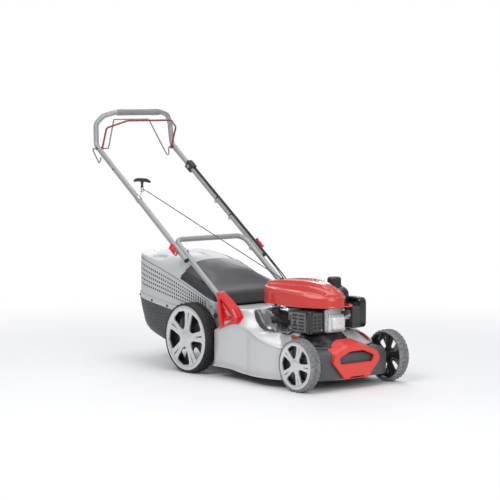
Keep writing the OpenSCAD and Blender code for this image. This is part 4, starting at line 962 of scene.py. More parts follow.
def cowl_height(x, y, ins):
    """Top of the cowl: from the side walls it steps up over two folds that run forward."""
    t = clamp((x - 262) / 350)
    s = abs(y) / (TANK_SIDE if y > 0 else 1)
    edge = cowl_edge(x)
    base = math.sqrt(1 - (1 - clamp((ins - 11) / 96)) ** 2)
    outer, inner = 101 - 14 * t - 38 * t * t, 90 - 28 * t - 50 * t * t
    share = smooth(t / 0.10) * smooth((0.985 - t) / 0.06) * smooth((s - 8) / 14)
    fold = 0.36 * step_up((outer - s) / 9) + 0.32 * step_up((inner - s) / 9) + 0.32 * base
    dent = 0.07 * (bulge(s, outer - 1, outer + 15, 2) + bulge(s, inner - 1, inner + 15, 2))
    return edge + (crest(x) - edge) * lerp(base, fold - dent, share)


def cowl_ring(ins, height):
    return [(x, y, height(x, y)) for x, y in [cowl_outline(k, ins) for k in COWL_UNITS]]


def make_cowl():
    # (inset, share of the side wall's height)
    wall = [(0, 0), (-0.5, 0.03), (0, 0.07), (0.6, 0.3), (1.4, 0.6), (2.4, 0.86), (3.4, 0.93), (5, 0.97),
            (7.4, 0.993), (10, 1.004)]
    rings = [cowl_ring(ins, lambda x, y: lerp(COWL_Z, cowl_edge(x), up)) for ins, up in wall]
    rings += [cowl_ring(ins, lambda x, y: cowl_height(x, y, ins))
              for ins in [12.5] + [15 + 2.6 * i for i in range(42)]]
    p = Piece("cowl_skin")
    rows = p.loft(rings, "cowl")
    p.fan(rows[-1], (COWL_C, 0, crest(COWL_C)), "cowl")
    # inner skin, black as painted shade under the cowl
    low = []
    for k in (0, 5, 8, 12, 16, 20, 26, 32, 40, 50):
        depth = 0 if k == 0 else COWL_SIDE if k < len(wall) else COWL_TOP
        low.append([(COWL_C + (x - COWL_C) * INNER_LONG, y * INNER_WIDE, z - depth) for x, y, z in rings[k]])
    inner = p.loft(low, "black")
    p.bridge(rows[0], inner[0], "cowl")
    p.fan(inner[-1], (COWL_C, 0, crest(COWL_C) - COWL_TOP), "black")
    p.done("deck", "cowl_red", "cowl", sharp=50)

    p = Piece("cowl_trim")
    # shelf beside the tank, which ends in a lip at the front
    outer = []
    for k in COWL_UNITS:
        x, y = cowl_outline(k, 1.4)
        share = smooth((k[1] - 0.04) / 0.3)
        outer.append((lerp(x, COWL_C + (COWL_L - 1) * k[0], share), lerp(y, (COWL_W - 1) * k[1], share)))
    p.ring_plate(outer, [cowl_outline(k, 5) for k in COWL_UNITS], place((0, 0, 0), "z"), 299, 303, "cowl", 1)
    # air slots in the top panel: a red rim round a black block that stands in for the opening, as painted shade
    for k in range(8):
        x = COWL_C - 80 + 20 * k
        at = place((x, 0, crest(x) + 0.4), "z")
        for y0, y1 in ((-20, -5), (6, 24)):
            p.prism(rect(-3.4, y0, 3.4, y1, 3, 5), at, -4, 0.6, "cowl", 0.5)
            p.prism(rect(-2.1, y0 + 1.4, 2.1, y1 - 1.4, 2, 5), at, -4, 0.9, "black", 0.2)
    p.done("deck", None, sharp=40)

    p = Piece("rope_eyelet")
    at = place((FX - 317.5, -47.2, 387), frame_along((-0.5, -0.05, 0.86)))
    p.lathe([(4.2, -6), (4.2, 1.5), (5.2, 3), (7.6, 3.4), (9.4, 2.4), (9.8, 0), (9, -3)], at, "black", 32)
    p.done("deck", None)

    p = Piece("tank_shell")
    plan = [(392, 64), (410, 58), (540, 58), (562, 72), (556, 106), (530, 119), (410, 119), (392, 106)]
    plan = rounded(plan, [10, 10, 16, 14, 18, 22, 22, 12], 6)
    rings = []
    for ins, z in ((3, 305), (0.6, 306), (0, 309), (0, 344), (1.2, 351), (4, 357.5), (8.6, 362.5),
                   (15, 365.4), (22, 366.4)):
        rings.append([(x, y, z - 8 * smooth((x - 510) / 50) * (z - 305) / 60) for x, y in inset(plan, ins)])
    p.loft(rings, "black_gloss", True, True)
    p.lathe([(33, 352), (32, 362), (28, 367.6), (22.5, 369.6), (21.2, 371), (20, 371.6), (20, 381.6),
             (17, 382), (17, 360)], place((*CAP, 0), "z"), "black", 48)
    p.done("deck", "black_plastic", "fuel_tank", sharp=40)


make_cowl()

# ---------------------------------------------------------------- grass box
BAG_FRONT, BAG_REAR, BAG_HALF, BAG_FLOOR = RX + 90, RX - 482, 200, 205
BAG_C = BAG_REAR + 310
BAG_LF, BAG_LR = BAG_FRONT - BAG_C, BAG_C - BAG_REAR
BAG_E_FRONT, BAG_E_REAR = 0.17, 0.4
BAG_UNITS = units(BAG_E_FRONT, BAG_E_REAR, BAG_LF, BAG_LR, BAG_HALF, 320)
BAND, PITCH, HOLE_R, HOLE_DEPTH, DIMPLE_R = 21, 14.4, 4.4, 2.2, 4.1
LID_RISE = 58
# (inset, share of the lid's rise)
LEVELS = [(0, 0), (5, 0.04), (12, 0.12), (20, 0.21), (34, 0.35), (56, 0.56), (80, 0.75), (110, 0.88),
          (140, 0.96), (200, 1.0)]
# (x, height) of the tray's bottom, which is level ahead of the last one
TRAY_LINE = [(-418, 132), (-224, 81), (-170, 67), (-60, BAG_FLOOR)]


def side_top(x):
    d = x + 394
    return 435 - 0.22 * d - 0.000197 * d * d


def seam(x):
    return max(264 - 0.13 * (x + 442), BAG_FLOOR + 12)


def lid_z(x, ins):
    """Height of the lid at x, at a distance from the box's outline."""
    crown = LID_RISE * smooth((x - BAG_REAR) / 300)
    for (a, u), (b, v) in zip(LEVELS, LEVELS[1:]):
        if ins <= b:
            return side_top(x) + crown * lerp(u, v, (ins - a) / (b - a))
    return side_top(x) + crown


def tray_bottom(x):
    for (x0, z0), (x1, z1) in zip(TRAY_LINE, TRAY_LINE[1:]):
        if x <= x1:
            return lerp(z0, z1, (x - x0) / (x1 - x0))
    return BAG_FLOOR


def bag_point(k, ins):
    return BAG_C + ((BAG_LF if k[0] > 0 else BAG_LR) - ins) * k[0], (BAG_HALF - ins) * k[1]


def bag_ring(ins, height):
    return [(x, y, height(x)) for x, y in [bag_point(k, ins) for k in BAG_UNITS]]


def bag_y(x, ins):
    """Half width of the box's outline at x."""
    e, reach = (BAG_E_FRONT, BAG_LF) if x > BAG_C else (BAG_E_REAR, BAG_LR)
    return (BAG_HALF - ins) * max(0.0, 1 - min(1, abs(x - BAG_C) / (reach - ins)) ** (2 / e)) ** (e / 2)


def bag_rear_x(y):
    """How far back the outline runs at y."""
    return BAG_REAR + BAG_LR * (1 - max(0.0, 1 - (abs(y) / BAG_HALF) ** 5) ** 0.2)


def spread(lo, hi, step):
    n = max(1, round((hi - lo) / step))
    return [lo + (hi - lo) * i / n for i in range(n + 1)]


# heights of the rows of holes, as shares of the wall
SIDE_ROWS = [0, 0.06] + [0.06 + 0.84 * i / 6 for i in range(1, 7)] + [1]
REAR_ROWS = [0, 0.05] + [0.05 + 0.8 * i / 6 for i in range(1, 7)] + [1]


def perforated(p, point, us, vs, inward, keep):
    """Sheet with a round hole in the middle of each cell that keep(u, v) accepts."""
    inward = Vector(inward) * HOLE_DEPTH
    for u0, u1 in zip(us, us[1:]):
        for v0, v1 in zip(vs, vs[1:]):
            c = [Vector(point(u, v)) for u, v in ((u0, v0), (u1, v0), (u1, v1), (u0, v1))]
            if not keep((u0 + u1) / 2, (v0 + v1) / 2):
                p.face(p.verts(c), "bag")
                continue
            mid = sum(c, Vector()) / 4
            ex, ey = (c[1] - c[0]).normalized(), (c[3] - c[0]).normalized()
            ring = []
            for i in range(8):
                t = math.pi * (2 * i + 1) / 8
                ring.append(mid + ex * HOLE_R * math.cos(t) + ey * HOLE_R * math.sin(t))
            mids = [(c[i] + c[(i + 1) % 4]) / 2 for i in range(4)]
            outer = p.verts([c[2], mids[2], c[3], mids[3], c[0], mids[0], c[1], mids[1]])
            inner = p.verts(ring)
            deep = p.verts([q + inward for q in ring])
            # the hole's wall and a bottom that closes it are black: painted shade of the box's inside
            p.face(deep, "cable")
            for i in range(8):
                p.bridge(outer, inner, "bag", [i])
                p.bridge(inner, deep, "cable", [i])


def dimple(p, walls, start, way, top, bottom):
    """Black disc, painted shade in place of a hole, in the wall that a line from start meets, if it meets it between
    the two heights.
    """
    where, normal, _, _ = walls.ray_cast(Vector(start) * MM, Vector(way))
    if where is None or not bottom < start[2] < top:
        return
    normal = normal if normal.dot(Vector(way)) < 0 else -normal
    p.prism(circle(DIMPLE_R, 10), place(where / MM, frame_along(normal)), -2, 0.15, "cable", 0)


def make_lid():
    # band over the seam, side wall, and the edge where it turns over into the lid
    rings = [bag_ring(ins, lambda x: seam(x) + up)
             for ins, up in ((0.6, 0.3), (0, 1.2), (0, BAND - 1.2), (0.8, BAND), (5.2, BAND + 1.6))]
    rings += [bag_ring(6.2, lambda x: lerp(seam(x) + BAND + 4, side_top(x) - 14, share))
              for share in (0.12, 0.3, 0.5, 0.7, 0.88)]
    rings += [bag_ring(ins, lambda x: side_top(x) - down)
              for ins, down in ((6.0, 12), (5.6, 8), (7, 4), (10, 1))]
    for ins in (14, 19, *range(25, 61, 7), *range(68, 141, 8), 150, 160, 175, 190):
        ring = []
        for x, y in [bag_point(k, ins) for k in BAG_UNITS]:
            z = lid_z(x, ins)
            # a dent at the rear right, and a hand hollow on each side
            z -= 9 * smooth((1 - math.hypot((x + 338) / 44, (y + 146) / 27)) / 0.4)
            for s in (-1, 1):
                z -= 22 * smooth((1 - math.hypot((x + 176) / 46, (y - s * 124) / 30)) / 0.45)
            ring.append((x, y, z))
        rings.append(ring)
    p = Piece("bag_lid")
    rows = p.loft(rings, "bag")
    p.fan(rows[-1], (BAG_C, 0, lid_z(BAG_C, BAG_HALF)), "bag")
    # the wall behind the rows of holes is painted black, painted shade of the box's inside, and so is a band beside
    # the flap, painted shade under its side; the front is open under the flap
    drop = []
    p.bm.faces.index_update()
    for f in p.bm.faces:
        c = f.calc_center_median() / MM
        top = side_top(c.x)
        under_flap = c.x > -112 and abs(c.y) < 150 and c.z > max(245, top - 30)
        mouth = c.x > 84 and abs(c.y) < 186
        if under_flap or mouth:
            drop.append(f)
            continue
        column = bag_point(BAG_UNITS[f.index % len(BAG_UNITS)], 0)[0]
        beside = abs(c.y) > 150 and column > -136 and c.x < 78 and c.z > top - 3
        side = seam(c.x) + BAND + 4 < c.z < top - 13 and -452 < c.x < 52 and abs(c.y) > 168
        rear = c.x < BAG_REAR + 16 and abs(c.y) < 118 and seam(c.x) + BAND + 8 < c.z < top - 22
        if beside or side or rear:
            f.material_index = p.slot("black")
    bmesh.ops.delete(p.bm, geom=drop, context="FACES")
    for s in (-1, 1):
        perforated(p, lambda u, v: (u, s * (bag_y(u, 3.6) + 0.2), lerp(seam(u) + 23, side_top(u) - 12.5, v)),
                   spread(-455, 55, PITCH), SIDE_ROWS, (0, -s, 0),
                   lambda u, v: (SIDE_ROWS[1] < v < SIDE_ROWS[-2] and -446 < u < 40
                                 and lerp(seam(u), side_top(u), v) > seam(u) + 27))

    def rear_wall(u, v):
        x = bag_rear_x(u) + 3.6
        return x, u, lerp(seam(x) + 24, side_top(x) - 13, v)

    perforated(p, rear_wall, spread(-122, 122, PITCH), REAR_ROWS, (1, 0, 0),
               lambda u, v: REAR_ROWS[1] < v < REAR_ROWS[-2] and abs(u) < 116)
    p.done("grass_box", "box_grey", "bag_upper", sharp=40)


def make_tray():
    # (inset, share of the way from the seam to the bottom)
    shares = [(0.4, 0), (0.4, 0.03), (2, 0.12), (5, 0.3), (8.6, 0.45), (12.4, 0.6), (16, 0.75), (19.5, 0.85),
              (24, 0.92), (30, 0.972), (38, 1), (55, 1), (80, 1), (110, 1), (140, 1), (170, 1), (195, 1)]
    rings = [bag_ring(ins, lambda x: lerp(seam(x) - 0.3, tray_bottom(x), share)) for ins, share in shares]
    p = Piece("bag_tray")
    rows = p.loft(rings, "tray")
    p.fan(rows[-1], (BAG_C, 0, tray_bottom(BAG_C)), "tray")
    p.cut(lambda c: c.x > 48 and -152 < c.y < 38)
    walls = BVHTree.FromBMesh(p.bm)
    heights = spread(40, 250, 14)
    for x in spread(-470, -120, PITCH):
        for z in heights:
            for side in (-1, 1):
                dimple(p, walls, (x, side * 400, z), (0, -side, 0), seam(x) - 14, tray_bottom(x) + 30)
    for y in spread(-150, 150, PITCH):
        for z in heights:
            dimple(p, walls, (BAG_REAR - 200, y, z), (1, 0, 0), seam(BAG_REAR) - 14,
                   tray_bottom(BAG_REAR) + 36)
    p.done("grass_box", "tray_dark", "bag_lower", sharp=40)

    p = Piece("bag_clips")
    for s in (-1, 1):
        for x in (-433, -324, -217, -100, 20):
            at = place((x, s * (bag_y(x, 0) + 0.2), seam(x) + 9), outwards(s))
            p.prism(circle(5.6, 16), at, -3, 1.4, "black", 0.8)
            p.prism(circle(3, 12), at, 1, 2.4, "black", 0.5)
    for y in (-90, 0, 90):
        at = place((bag_rear_x(y) + 0.5, y, seam(BAG_REAR) + 9), (Y, Z, -X))
        p.prism(circle(5.6, 16), at, -3, 0.4, "black", 0.8)
    p.done("grass_box", None)


make_lid()
make_tray()


# ---------------------------------------------------------------- rear flap
FLAP_FRONT, FLAP_REAR, FLAP_HALF, FLAP_WALL = 97, -150, 160, 2.8


def flap_top(x, y):
    """The flap's outer face: a slope at the front that runs into the line of the box's lid."""
    share = smooth((62 - x) / 130)
    slope = lerp(362, 322, (x + 1) / (FLAP_FRONT + 1)) - 3 * (y / FLAP_HALF) ** 2
    return lerp(slope, lid_z(x, BAG_HALF - abs(y)) + 6.5 - 6 * share * smooth((abs(y) - 104) / 40), share)


def make_flap():
    top_x = [92, 88, 80, 70, 55, 40, 20, 0, -20, -40, -55, -75, -101, -125, -142, -148]
    ys = [-160, -159, -157, -153, -148, -140, -130, -120, -112, -104, -90, -70, -45, -20]
    rings = []
    for y in ys + [0] + [-y for y in reversed(ys)]:
        edge = max(0.0, (abs(y) - 157) / 3)
        top, rear = flap_top(FLAP_FRONT, y), flap_top(FLAP_REAR, y)
        front = [(0, 273), (0, 305), (0.4, top - 9), (1.6, top - 3.5)]
        ring = [(FLAP_FRONT - back - 2 * edge, y, z) for back, z in front]
        ring += [(x, y, flap_top(x, y) - 1.5 * edge - (1.2 if x > 90 else 0)) for x in top_x]
        ring += [(-150.5, y, rear - 3 - 1.5 * edge), (-150.5, y, rear - 12), (-147, y, rear - 12)]
        ring += [(x, y, flap_top(x, y) - 5) for x in reversed(top_x[1:-1])]
        rings.append(ring + [(93, y, 300), (93, y, 273)])
    p = Piece("flap_shell")
    p.loft(rings, "flap", True, True)
    side = [(FLAP_FRONT, 273), (FLAP_FRONT, 300), (93, flap_top(93, FLAP_HALF) - 3)]
    side += [(x, flap_top(x, FLAP_HALF) - 2) for x in (80, 55, 20, -20, -55, -101, -148)]
    side += [(-148, flap_top(-148, FLAP_HALF) - 24), (-100, 330), (19, 290), (56, 282)]
    for s in (-1, 1):
        at = place((0, s * (FLAP_HALF - FLAP_WALL), 0), outwards(s))
        p.prism(side[::-1], at, 0, FLAP_WALL, "flap", 0.6)
    # roll along the hinge
    roll = place((0, -FLAP_HALF, 0), outwards(1))
    p.prism(circle(6.6, 24, 89, 310), roll, 0.5, 2 * FLAP_HALF - 0.5, "flap", 0.8)
    # raised border on the front face
    p.ring_plate(rect(-150, 277, 150, 313, 6), rect(-146, 281, 146, 309, 4),
                 place((FLAP_FRONT, 0, 0), "x"), -1, 0.8, "flap", 0.5)
    p.done("flap", "flap_dark", "rear_flap", sharp=38)


make_flap()


# ---------------------------------------------------------------- handle
LOW_Y, UP_Y, TUBE_R = 177.6, 200, 11


def make_handle():
    corner = FOLD + SD * 82
    p = Piece("lower_tube")
    half = [(PIVOT.x, -LOW_Y, 262), (PIVOT.x, -LOW_Y, 306), (corner.x, -LOW_Y, corner.z)]
    p.tube(both_sides(half), TUBE_R, "tube", 38, 28, 12)
    # flattened ends round the pivot bolts: (height, half size along X, half size along Y)
    ends = ((264, 10.9, 10.9), (258, 11.6, 9), (251, 12.6, 5.6), (244, 13, 4.1), (224, 13, 4), (217, 11.4, 4),
            (212.5, 7.5, 3.6), (211, 4, 3))
    for s in (-1, 1):
        p.loft([[(PIVOT.x + a * sgn_pow(c, 0.8), s * LOW_Y + b * sgn_pow(t, 0.8), z) for c, t in turns(28)]
                for z, a, b in ends], "tube", True, True)
    p.done("lower_frame", "tube_steel", "lower_handle")

    p = Piece("upper_tube")
    low, top = FOLD - SD * 50, BAIL + SD * 22
    half = [(low.x, -UP_Y, low.z), (top.x, -UP_Y, top.z), BAIL + Vector((-26, -196, 106)),
            BAIL + Vector((-8, -168, 140)), BAIL + Vector((10, -122, 153))]
    p.tube(both_sides(half), TUBE_R, "tube", 38, 28, 12)
    p.done("upper_frame", "tube_steel", "upper_handle")

    p = Piece("tube_plugs")
    for s in (-1, 1):
        at = place((low.x, s * UP_Y, low.z), frame_along(-SD))
        p.lathe([(9.6, -6), (11.2, 0), (11.2, 2.2), (9.5, 4), (5, 5)], at, "black", 28, True, True)
    p.done("upper_frame", None)

    p = Piece("grip_sleeve")
    profile = [(11.2, 0.3), (13.2, 0.4), (13.5, 1.2), (13.5, 6)]
    plain = [(13.5, 50), (13.2, 51), (13.2, 169), (13.5, 170)]
    for first, after in ((8, plain), (175, [(13.5, 214), (13.5, 218.8), (13.2, 219.6), (11.2, 219.7)])):
        for k in range(9):
            profile += [(13.5, first + 4 * k), (12.9, first + 0.8 + 4 * k), (12.9, first + 2.2 + 4 * k),
                        (13.5, first + 3 + 4 * k)]
        profile += after
    p.lathe(profile, place(BAIL + Vector((10, -110, 153)), outwards(1)), "grip", 40)
    p.done("upper_frame", "grip_rubber", "handle_grip", sharp=25)

    p = Piece("brake_rod")
    half = [BAIL + Vector(q) for q in ((4, -183, 6), (35, -183, 88), (94, -114, 119))]
    p.tube(both_sides(half), 4, "bail_red", 18, 18, 8)
    for s in (-1, 1):
        p.lathe([(3.2, 0.4), (6.6, 0.4), (7.5, 1.4), (7.5, 6.6), (6.6, 7.6), (3.2, 7.6), (3.2, 0.4)],
                place(BAIL + Y * s * 179, outwards(s)), "bail_red", 28)
    p.done("brake_lever", "bail_red", "brake_bail")

    p = Piece("drive_wire")
    wire = [(40, -216, -36), (28, -216, -64), (-26, -216, 0), (0, -216, 0), (0, -150, 0), (-42, -92, 122),
            (-42, 92, 122), (6, 168, -54), (0, 168, 0), (0, 213, 0)]
    p.tube([BAIL + Vector(q) for q in wire], 3, "wire", 6)
    p.done("drive_lever", "bright_steel", "drive_bail")

    p = Piece("bail_bushes")
    for s in (-1, 1):
        at = place(BAIL + Y * s * 188.4, outwards(s))
        p.lathe([(3.3, -0.2), (6.2, -0.2), (6.6, 0.6)], at, "black", 24)
        p.lathe([(3.3, 22.4), (6.4, 22.4), (6.4, 24.2), (3.3, 24.4)], at, "black", 24)
    p.done("upper_frame", None)


make_handle()


# ---------------------------------------------------------------- deck fittings
BRACKET_Y = 195.9


def deck_z(x, y):
    """Height of the deck's sheet over a point of its top."""
    a = math.atan2(y, x - DECK_C)
    reach = deck_reach(a, 0)
    ins = reach - math.hypot(x - DECK_C, y)
    share = smooth((DECK_BACK + 200 - (DECK_C + reach * math.cos(a))) / 190)
    slope = [(0, 0, -13), (5, 5.5, -0.3), (11, 15, 0.05), (17, 33, 0.3), (21, 48, 0.48), (25, 60, 0.64),
             (29, 72, 0.80), (33, 83, 0.92), (37, 93, 0.985), (46, 106, 1.0)]
    rise = 0.0
    for (b0, f0, r0), (b1, f1, r1) in zip(slope, slope[1:]):
        lo, hi = lerp(f0, b0, share), lerp(f1, b1, share)
        if ins <= hi:
            rise = lerp(max(0, r0), max(0, r1), max(0, (ins - lo) / (hi - lo)))
            break
        rise = 1.0
    return lerp(shoulder_z(x), deck_top(x), rise)


def make_dish(s, tag):
    rings = []
    for rho in (1.04, 1.01, 0.985, 0.96, 0.93, 0.9, 0.86, 0.82, 0.78, 0.74, 0.7, 0.66, 0.6, 0.5, 0.34, 0.17):
        ring = []
        for c, t in turns(96):
            x = DISH_X + DISH_LONG * (DISH_AHEAD if c > 0 else 1) * rho * c
            y = s * DISH_Y + DISH_WIDE * rho * t
            ring.append((x, y, dish_floor(x, y, deck_z(x, y)) + 0.9 * bulge(rho, 0.9, 1.06, 1)))
        rings.append(ring)
    p = Piece("deck_recess_" + tag)
    # the recess is dark grey, painted shade and painted reflection of the engine; only its rim keeps the deck's paint
    rows = p.loft(rings, "dish")
    y = s * DISH_Y
    p.fan(rows[-1], (DISH_X, y, dish_floor(DISH_X, y, deck_z(DISH_X, y))), "dish")
    p.paint("deck", lambda c: dish_rho(c.x, c.y) > 0.97)
    p.done("deck", "deck_paint", sharp=50)


def make_bracket(s, tag):
    """Red cover of the handle's pivot: a thick border round a sunk face with a strut and a low bar."""
    outer = [(176, 190), (200, 184), (240, 214), (289, 222), (284, 246), (258, 277), (214, 306), (156, 338)]
    inner = [(192, 210), (206, 206), (238, 226), (268, 234), (262, 246), (243, 265), (210, 293), (175, 312)]
    p = Piece("handle_cover_" + tag)
    at = place((RX, s * BRACKET_Y, 0), outwards(s))
    hole = rounded(inner, 5, 5)
    p.ring_plate(rounded(outer, [8, 14, 26, 7, 12, 20, 30, 5], 5), hole, at, 0, 40, "red", 3.2)
    p.prism(hole, at, 1, 24, "red", 0.5)
    for poly, r, *rest in (([(176, 284), (232, 240), (240, 246), (184, 296)], 2, 23, 31, "red", 1.5),
                           ([(180, 220), (228, 236), (222, 242), (180, 232)], 2, 23, 30, "red", 1.5),
                           ([(203, 262), (222, 246), (226, 250), (207, 267)], 1.5, 30, 32, "tube", 0.5)):
        p.prism(rounded(poly, r, 3), at, *rest)
    bolt(p, place((RX + 178, s * BRACKET_Y, 252), outwards(s)), 24, 5, "black", 7)
    p.done("deck", "red_plastic", sharp=36)


for make in (make_dish, make_bracket):
    make(-1, "right")
    make(1, "left")
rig.replaces(bpy.data.objects["handle_cover_right"], "handle_brackets")

# ---------------------------------------------------------------- front apron and carrying handle
APRON_C, APRON_LONG, APRON_HALF = FX - 40, 98, 193
# distances from the crankshaft
APRON_CUT, STRIP = 244, 250.5


def make_apron():
    p = Piece("apron_shell")
    shape = units(0.4, 0.4, APRON_LONG, APRON_LONG, APRON_HALF, 220)

    def ring(ins, z):
        return [(APRON_C + (APRON_LONG - ins) * kx, (APRON_HALF - ins) * ky, z) for kx, ky in shape]

    steps = [(6, 38.6), (4, 39), (1.6, 48), (0.4, 66), (0, 80), (0.8, 100), (1.8, 116), (3, 127), (4.4, 132),
             (7.5, 136.5), (12, 140), (20, 143.4), (30, 146.6), (44, 150), (60, 151.6), (80, 152)]
    p.loft([ring(*step) for step in steps], "apron", False, True)
    p.loft([ring(*step) for step in ((6, 38.6), (5, 70), (7, 124))], "apron")
    p.cut(lambda c: math.hypot(c.x - CX, c.y) < APRON_CUT)
    # ribs at the corners
    for s in (-1, 1):
        for t in (0.62, 0.70):
            x, y = APRON_C + APRON_LONG * t ** 0.4, s * APRON_HALF * (1 - (t ** 0.4) ** 5) ** 0.2
            rib = ((-0.6, -0.5, 44), (0.4, 0, 80), (-1.6, -1.5, 124), (-7, -6, 138))
            p.tube([(x + u, y + s * v, z) for u, v, z in rib], 1.6, "apron", 20, 10)
    # rubber strip between the deck and the apron
    arc = [math.radians(a) for a in range(-44, 45, 4)]
    p.tube([(CX + STRIP * math.cos(a), STRIP * math.sin(a), 150.4) for a in arc], 3.2, "belt", 0, 12)
    p.done("deck", "black_plastic", "front_apron", sharp=36)


def make_carry():
    p = Piece("carry_plate")
    at = place((FX + 58, 0, 0), "x")
    outer = [(-60, 40), (60, 40), (118, 104), (106, 136), (36, 160), (-36, 160), (-106, 136), (-118, 104)]
    hole = [(-78, 98), (78, 98), (84, 106), (86, 122), (34, 143), (-34, 143), (-86, 122), (-84, 106)]
    out = rounded(outer, [10, 10, 12, 14, 60, 60, 14, 12], 5)
    p.ring_plate(out, rounded(hole, [6, 6, 3, 12, 60, 60, 12, 3], 5), at, 2, 16, "carry", 3)
    # hood that runs back over the apron: (scale across, lift, distance along X)
    hood = [(lerp(0.93, 0.995, t), 21 * (1 - t ** 1.3) - 0.4 * t, lerp(-64, 3, t))
            for t in [i / 16 for i in range(17)]]
    top = [i for i, (u, v) in enumerate(out) if v > 106][:-1]
    over = [p.verts([at(u * k, v + lift, w) for u, v in out]) for k, lift, w in hood]
    under = [p.verts([at(u * (k - 0.01), v + lift - 4, w) for u, v in out]) for k, lift, w in hood]
    for rows in (over, under):
        for a, b in zip(rows, rows[1:]):
            p.bridge(a, b, "carry", top)
    p.bridge(over[0], under[0], "carry", top)
    p.prism(rect(-34, 43, 34, 48, 2), at, 14, 16.0, "black", 0.3)
    # side arms with grip rings
    for s in (-1, 1):
        arm = [Vector(q) for q in ((FX - 130, s * 150, 190), (FX - 59, s * 150, 178), (FX - 26, s * 150, 162),
                                   (FX - 8, s * 124, 146))]
        p.tube(arm, 7, "bail_red", 40, 20, 10)
        for k in range(1, 15):
            at = place(arm[0].lerp(arm[1], k / 15), frame_along(arm[1] - arm[0]))
            p.lathe([(7.0, -1.4), (7.5, -0.6), (7.5, 0.6), (7.0, 1.4)], at, "bail_red", 20)
    p.done("deck", "red_plastic", "carry_handle", sharp=36)


make_apron()
make_carry()


# ---------------------------------------------------------------- engine
SLOT_HEIGHT = 7.4


def by_axle(*points):
    """Points whose X is counted from the front axle."""
    return [(FX + x, y, z) for x, y, z in points]


def by_crank(*points):
    """Points whose X is counted from the crankshaft."""
    return [(CX + x, y, z) for x, y, z in points]


def make_guard():
    p = Piece("guard_shell")
    x1, x2, y1, y2 = CX + 47, FX - 53, -130, -60
    out = rounded([(x1, y2), (x1, y1), (x2, y1), (x2, y2)], [0.01, 10, 19, 0.01], 9)
    rings = []
    for ins, z in ((12, 199), (6, 199.6), (2, 202), (0, 207), (0, 274), (1, 279), (3.4, 283.6), (7.5, 287),
                   (13, 288), (20, 288.2)):
        rings.append([(min(max(x, x1 + ins), x2 - ins), max(y, y1 + ins), z) for x, y in out])
    p.loft(rings, "black_gloss", True, True)
    near, front = place((0, y1, 0), "y"), place((x2, 0, 0), "x")
    p.ring_plate(rect(x1 + 7, 206, x1 + 92, 281, 8), rect(x1 + 9.4, 208.4, x1 + 89.6, 278.6, 6), near,
                 -4, 0.3, "panel", 0.5)
    p.prism(rect(x1 + 9, 208, x1 + 90, 279, 6), near, -4, 0.2, "panel", 0.3)
    p.ring_plate(rect(y1 + 16, 209, y2 - 6, 281, 7), rect(y1 + 18, 211, y2 - 8, 279, 5), front, -4, 0.3,
                 "hub_dark", 0.5)
    p.prism(rect(y1 + 17, 210, y2 - 7, 280, 5), front, -4, 0.2, "hub_dark", 0.3)
    # slots, drawn as black blocks in place of openings, as painted shade; the middle one near the engine gives way to
    # a bolt
    for col in (0, 1):
        slots = [(x1 + 14 + 38 * col, 213.5 + 13 * i, 31, near) for i in range(5) if col or i != 2]
        slots += [(y1 + 21 + 21 * col, 220 + 13.5 * i, 15, front) for i in range(4)]
        for u, v, long, at in slots:
            p.prism(rect(u, v, u + long, v + SLOT_HEIGHT, 1.6, 2), at, -3, 0.5, "cable", 0.2)
    bolt(p, place((x1 + 29, y1, 242.6), "y"), 0, 4.2, "black", 7)
    for z in (214, 272):
        bolt(p, place((x1 + 4.4, y1 + 4, z), "y"), 2, 3, "steel")
    bolt(p, place((x2, y2 - 11, 214), "x"), 0, 3.4, "steel")
    p.done("deck", "black_plastic", "muffler_guard", sharp=36)


def make_head():
    p = Piece("cylinder_fins")
    for i in range(9):
        p.prism(rect(-60, 207, 28, 295, 8, 3), place((FX - 51.6 - i * 8, 0, 0), "x"), -1.3, 1.3, "fins", 0.5)
    p.prism(rect(-46, 220, 14, 284, 6), place((CX + 50, 0, 0), "x"), 0, FX - 50 - CX - 50, "fins", 1)
    at = place((FX - 52, 0, 0), "x")
    head = [(-60, 206), (-50, 202), (34, 202), (40, 210), (40, 282), (30, 296), (-52, 296), (-60, 288)]
    p.prism(rounded(head, 5), at, 0, 10, "cast", 1.6)
    for y, z in ((-50, 213), (-50, 285), (27, 287), (31, 213)):
        p.prism(circle(8.6, 24, y, z), at, 4, 12.5, "cast", 1.2)
        bolt(p, place((FX - 52, y, z), "x"), 12.5, 5.2, "steel", 6.6)
    p.tube(by_axle((-44, 34, 262), (-34, 40, 274), (-36, 46, 292), (-60, 60, 298)), 4.2, "black", 10, 14)
    p.done("deck", "fin_alloy", "engine_cylinder")

    p = Piece("valve_cover_body")
    at = place((FX - 42, 0, 0), "x")
    p.prism(rect(-46, 207, 26, 270, 10, 5), at, 0, 5.6, "cover", 1.2)
    body = rect(-41, 211, 21, 266, 13, 6)
    p.loft([[at(u, v, w) for u, v in inset(body, ins)]
            for ins, w in ((0.6, 4), (0, 6.5), (0.2, 15), (1.2, 20), (3.2, 23), (6.5, 25.2), (10.5, 26))],
           "cover", False, True)
    p.ring_plate(rect(-28, 223, 8, 254, 5), rect(-25, 226, 5, 251, 4), at, 25, 26.4, "cover", 0.4)
    for y, z in ((-41, 211.5), (-41, 265.5), (21, 265.5), (21, 211.5)):
        p.prism(circle(6, 20, y, z), at, 3, 8.4, "cover", 0.8)
        bolt(p, place((FX - 42, y, z), "x"), 8.4, 3.8, "steel")
    p.done("deck", "cover_alloy", "valve_cover")

    p = Piece("plug_boot")
    at = place((FX - 42, 24, 278), "x")
    p.lathe([(6, 0), (6, 14), (8.2, 15), (9, 18), (9, 30), (8, 33.4), (4, 34)], at, "black", 28, True, True)
    for k in range(4):
        p.lathe([(9, 19 + 3 * k), (9.4, 19.8 + 3 * k), (9, 20.6 + 3 * k)], at, "black", 28)
    p.tube(by_axle((-14, 24, 284), (-14, 26, 291), (-26, 30, 295), (-70, 40, 297.4)), 3.1, "cable", 8, 12)
    p.done("deck", "black_plastic", "spark_plug")


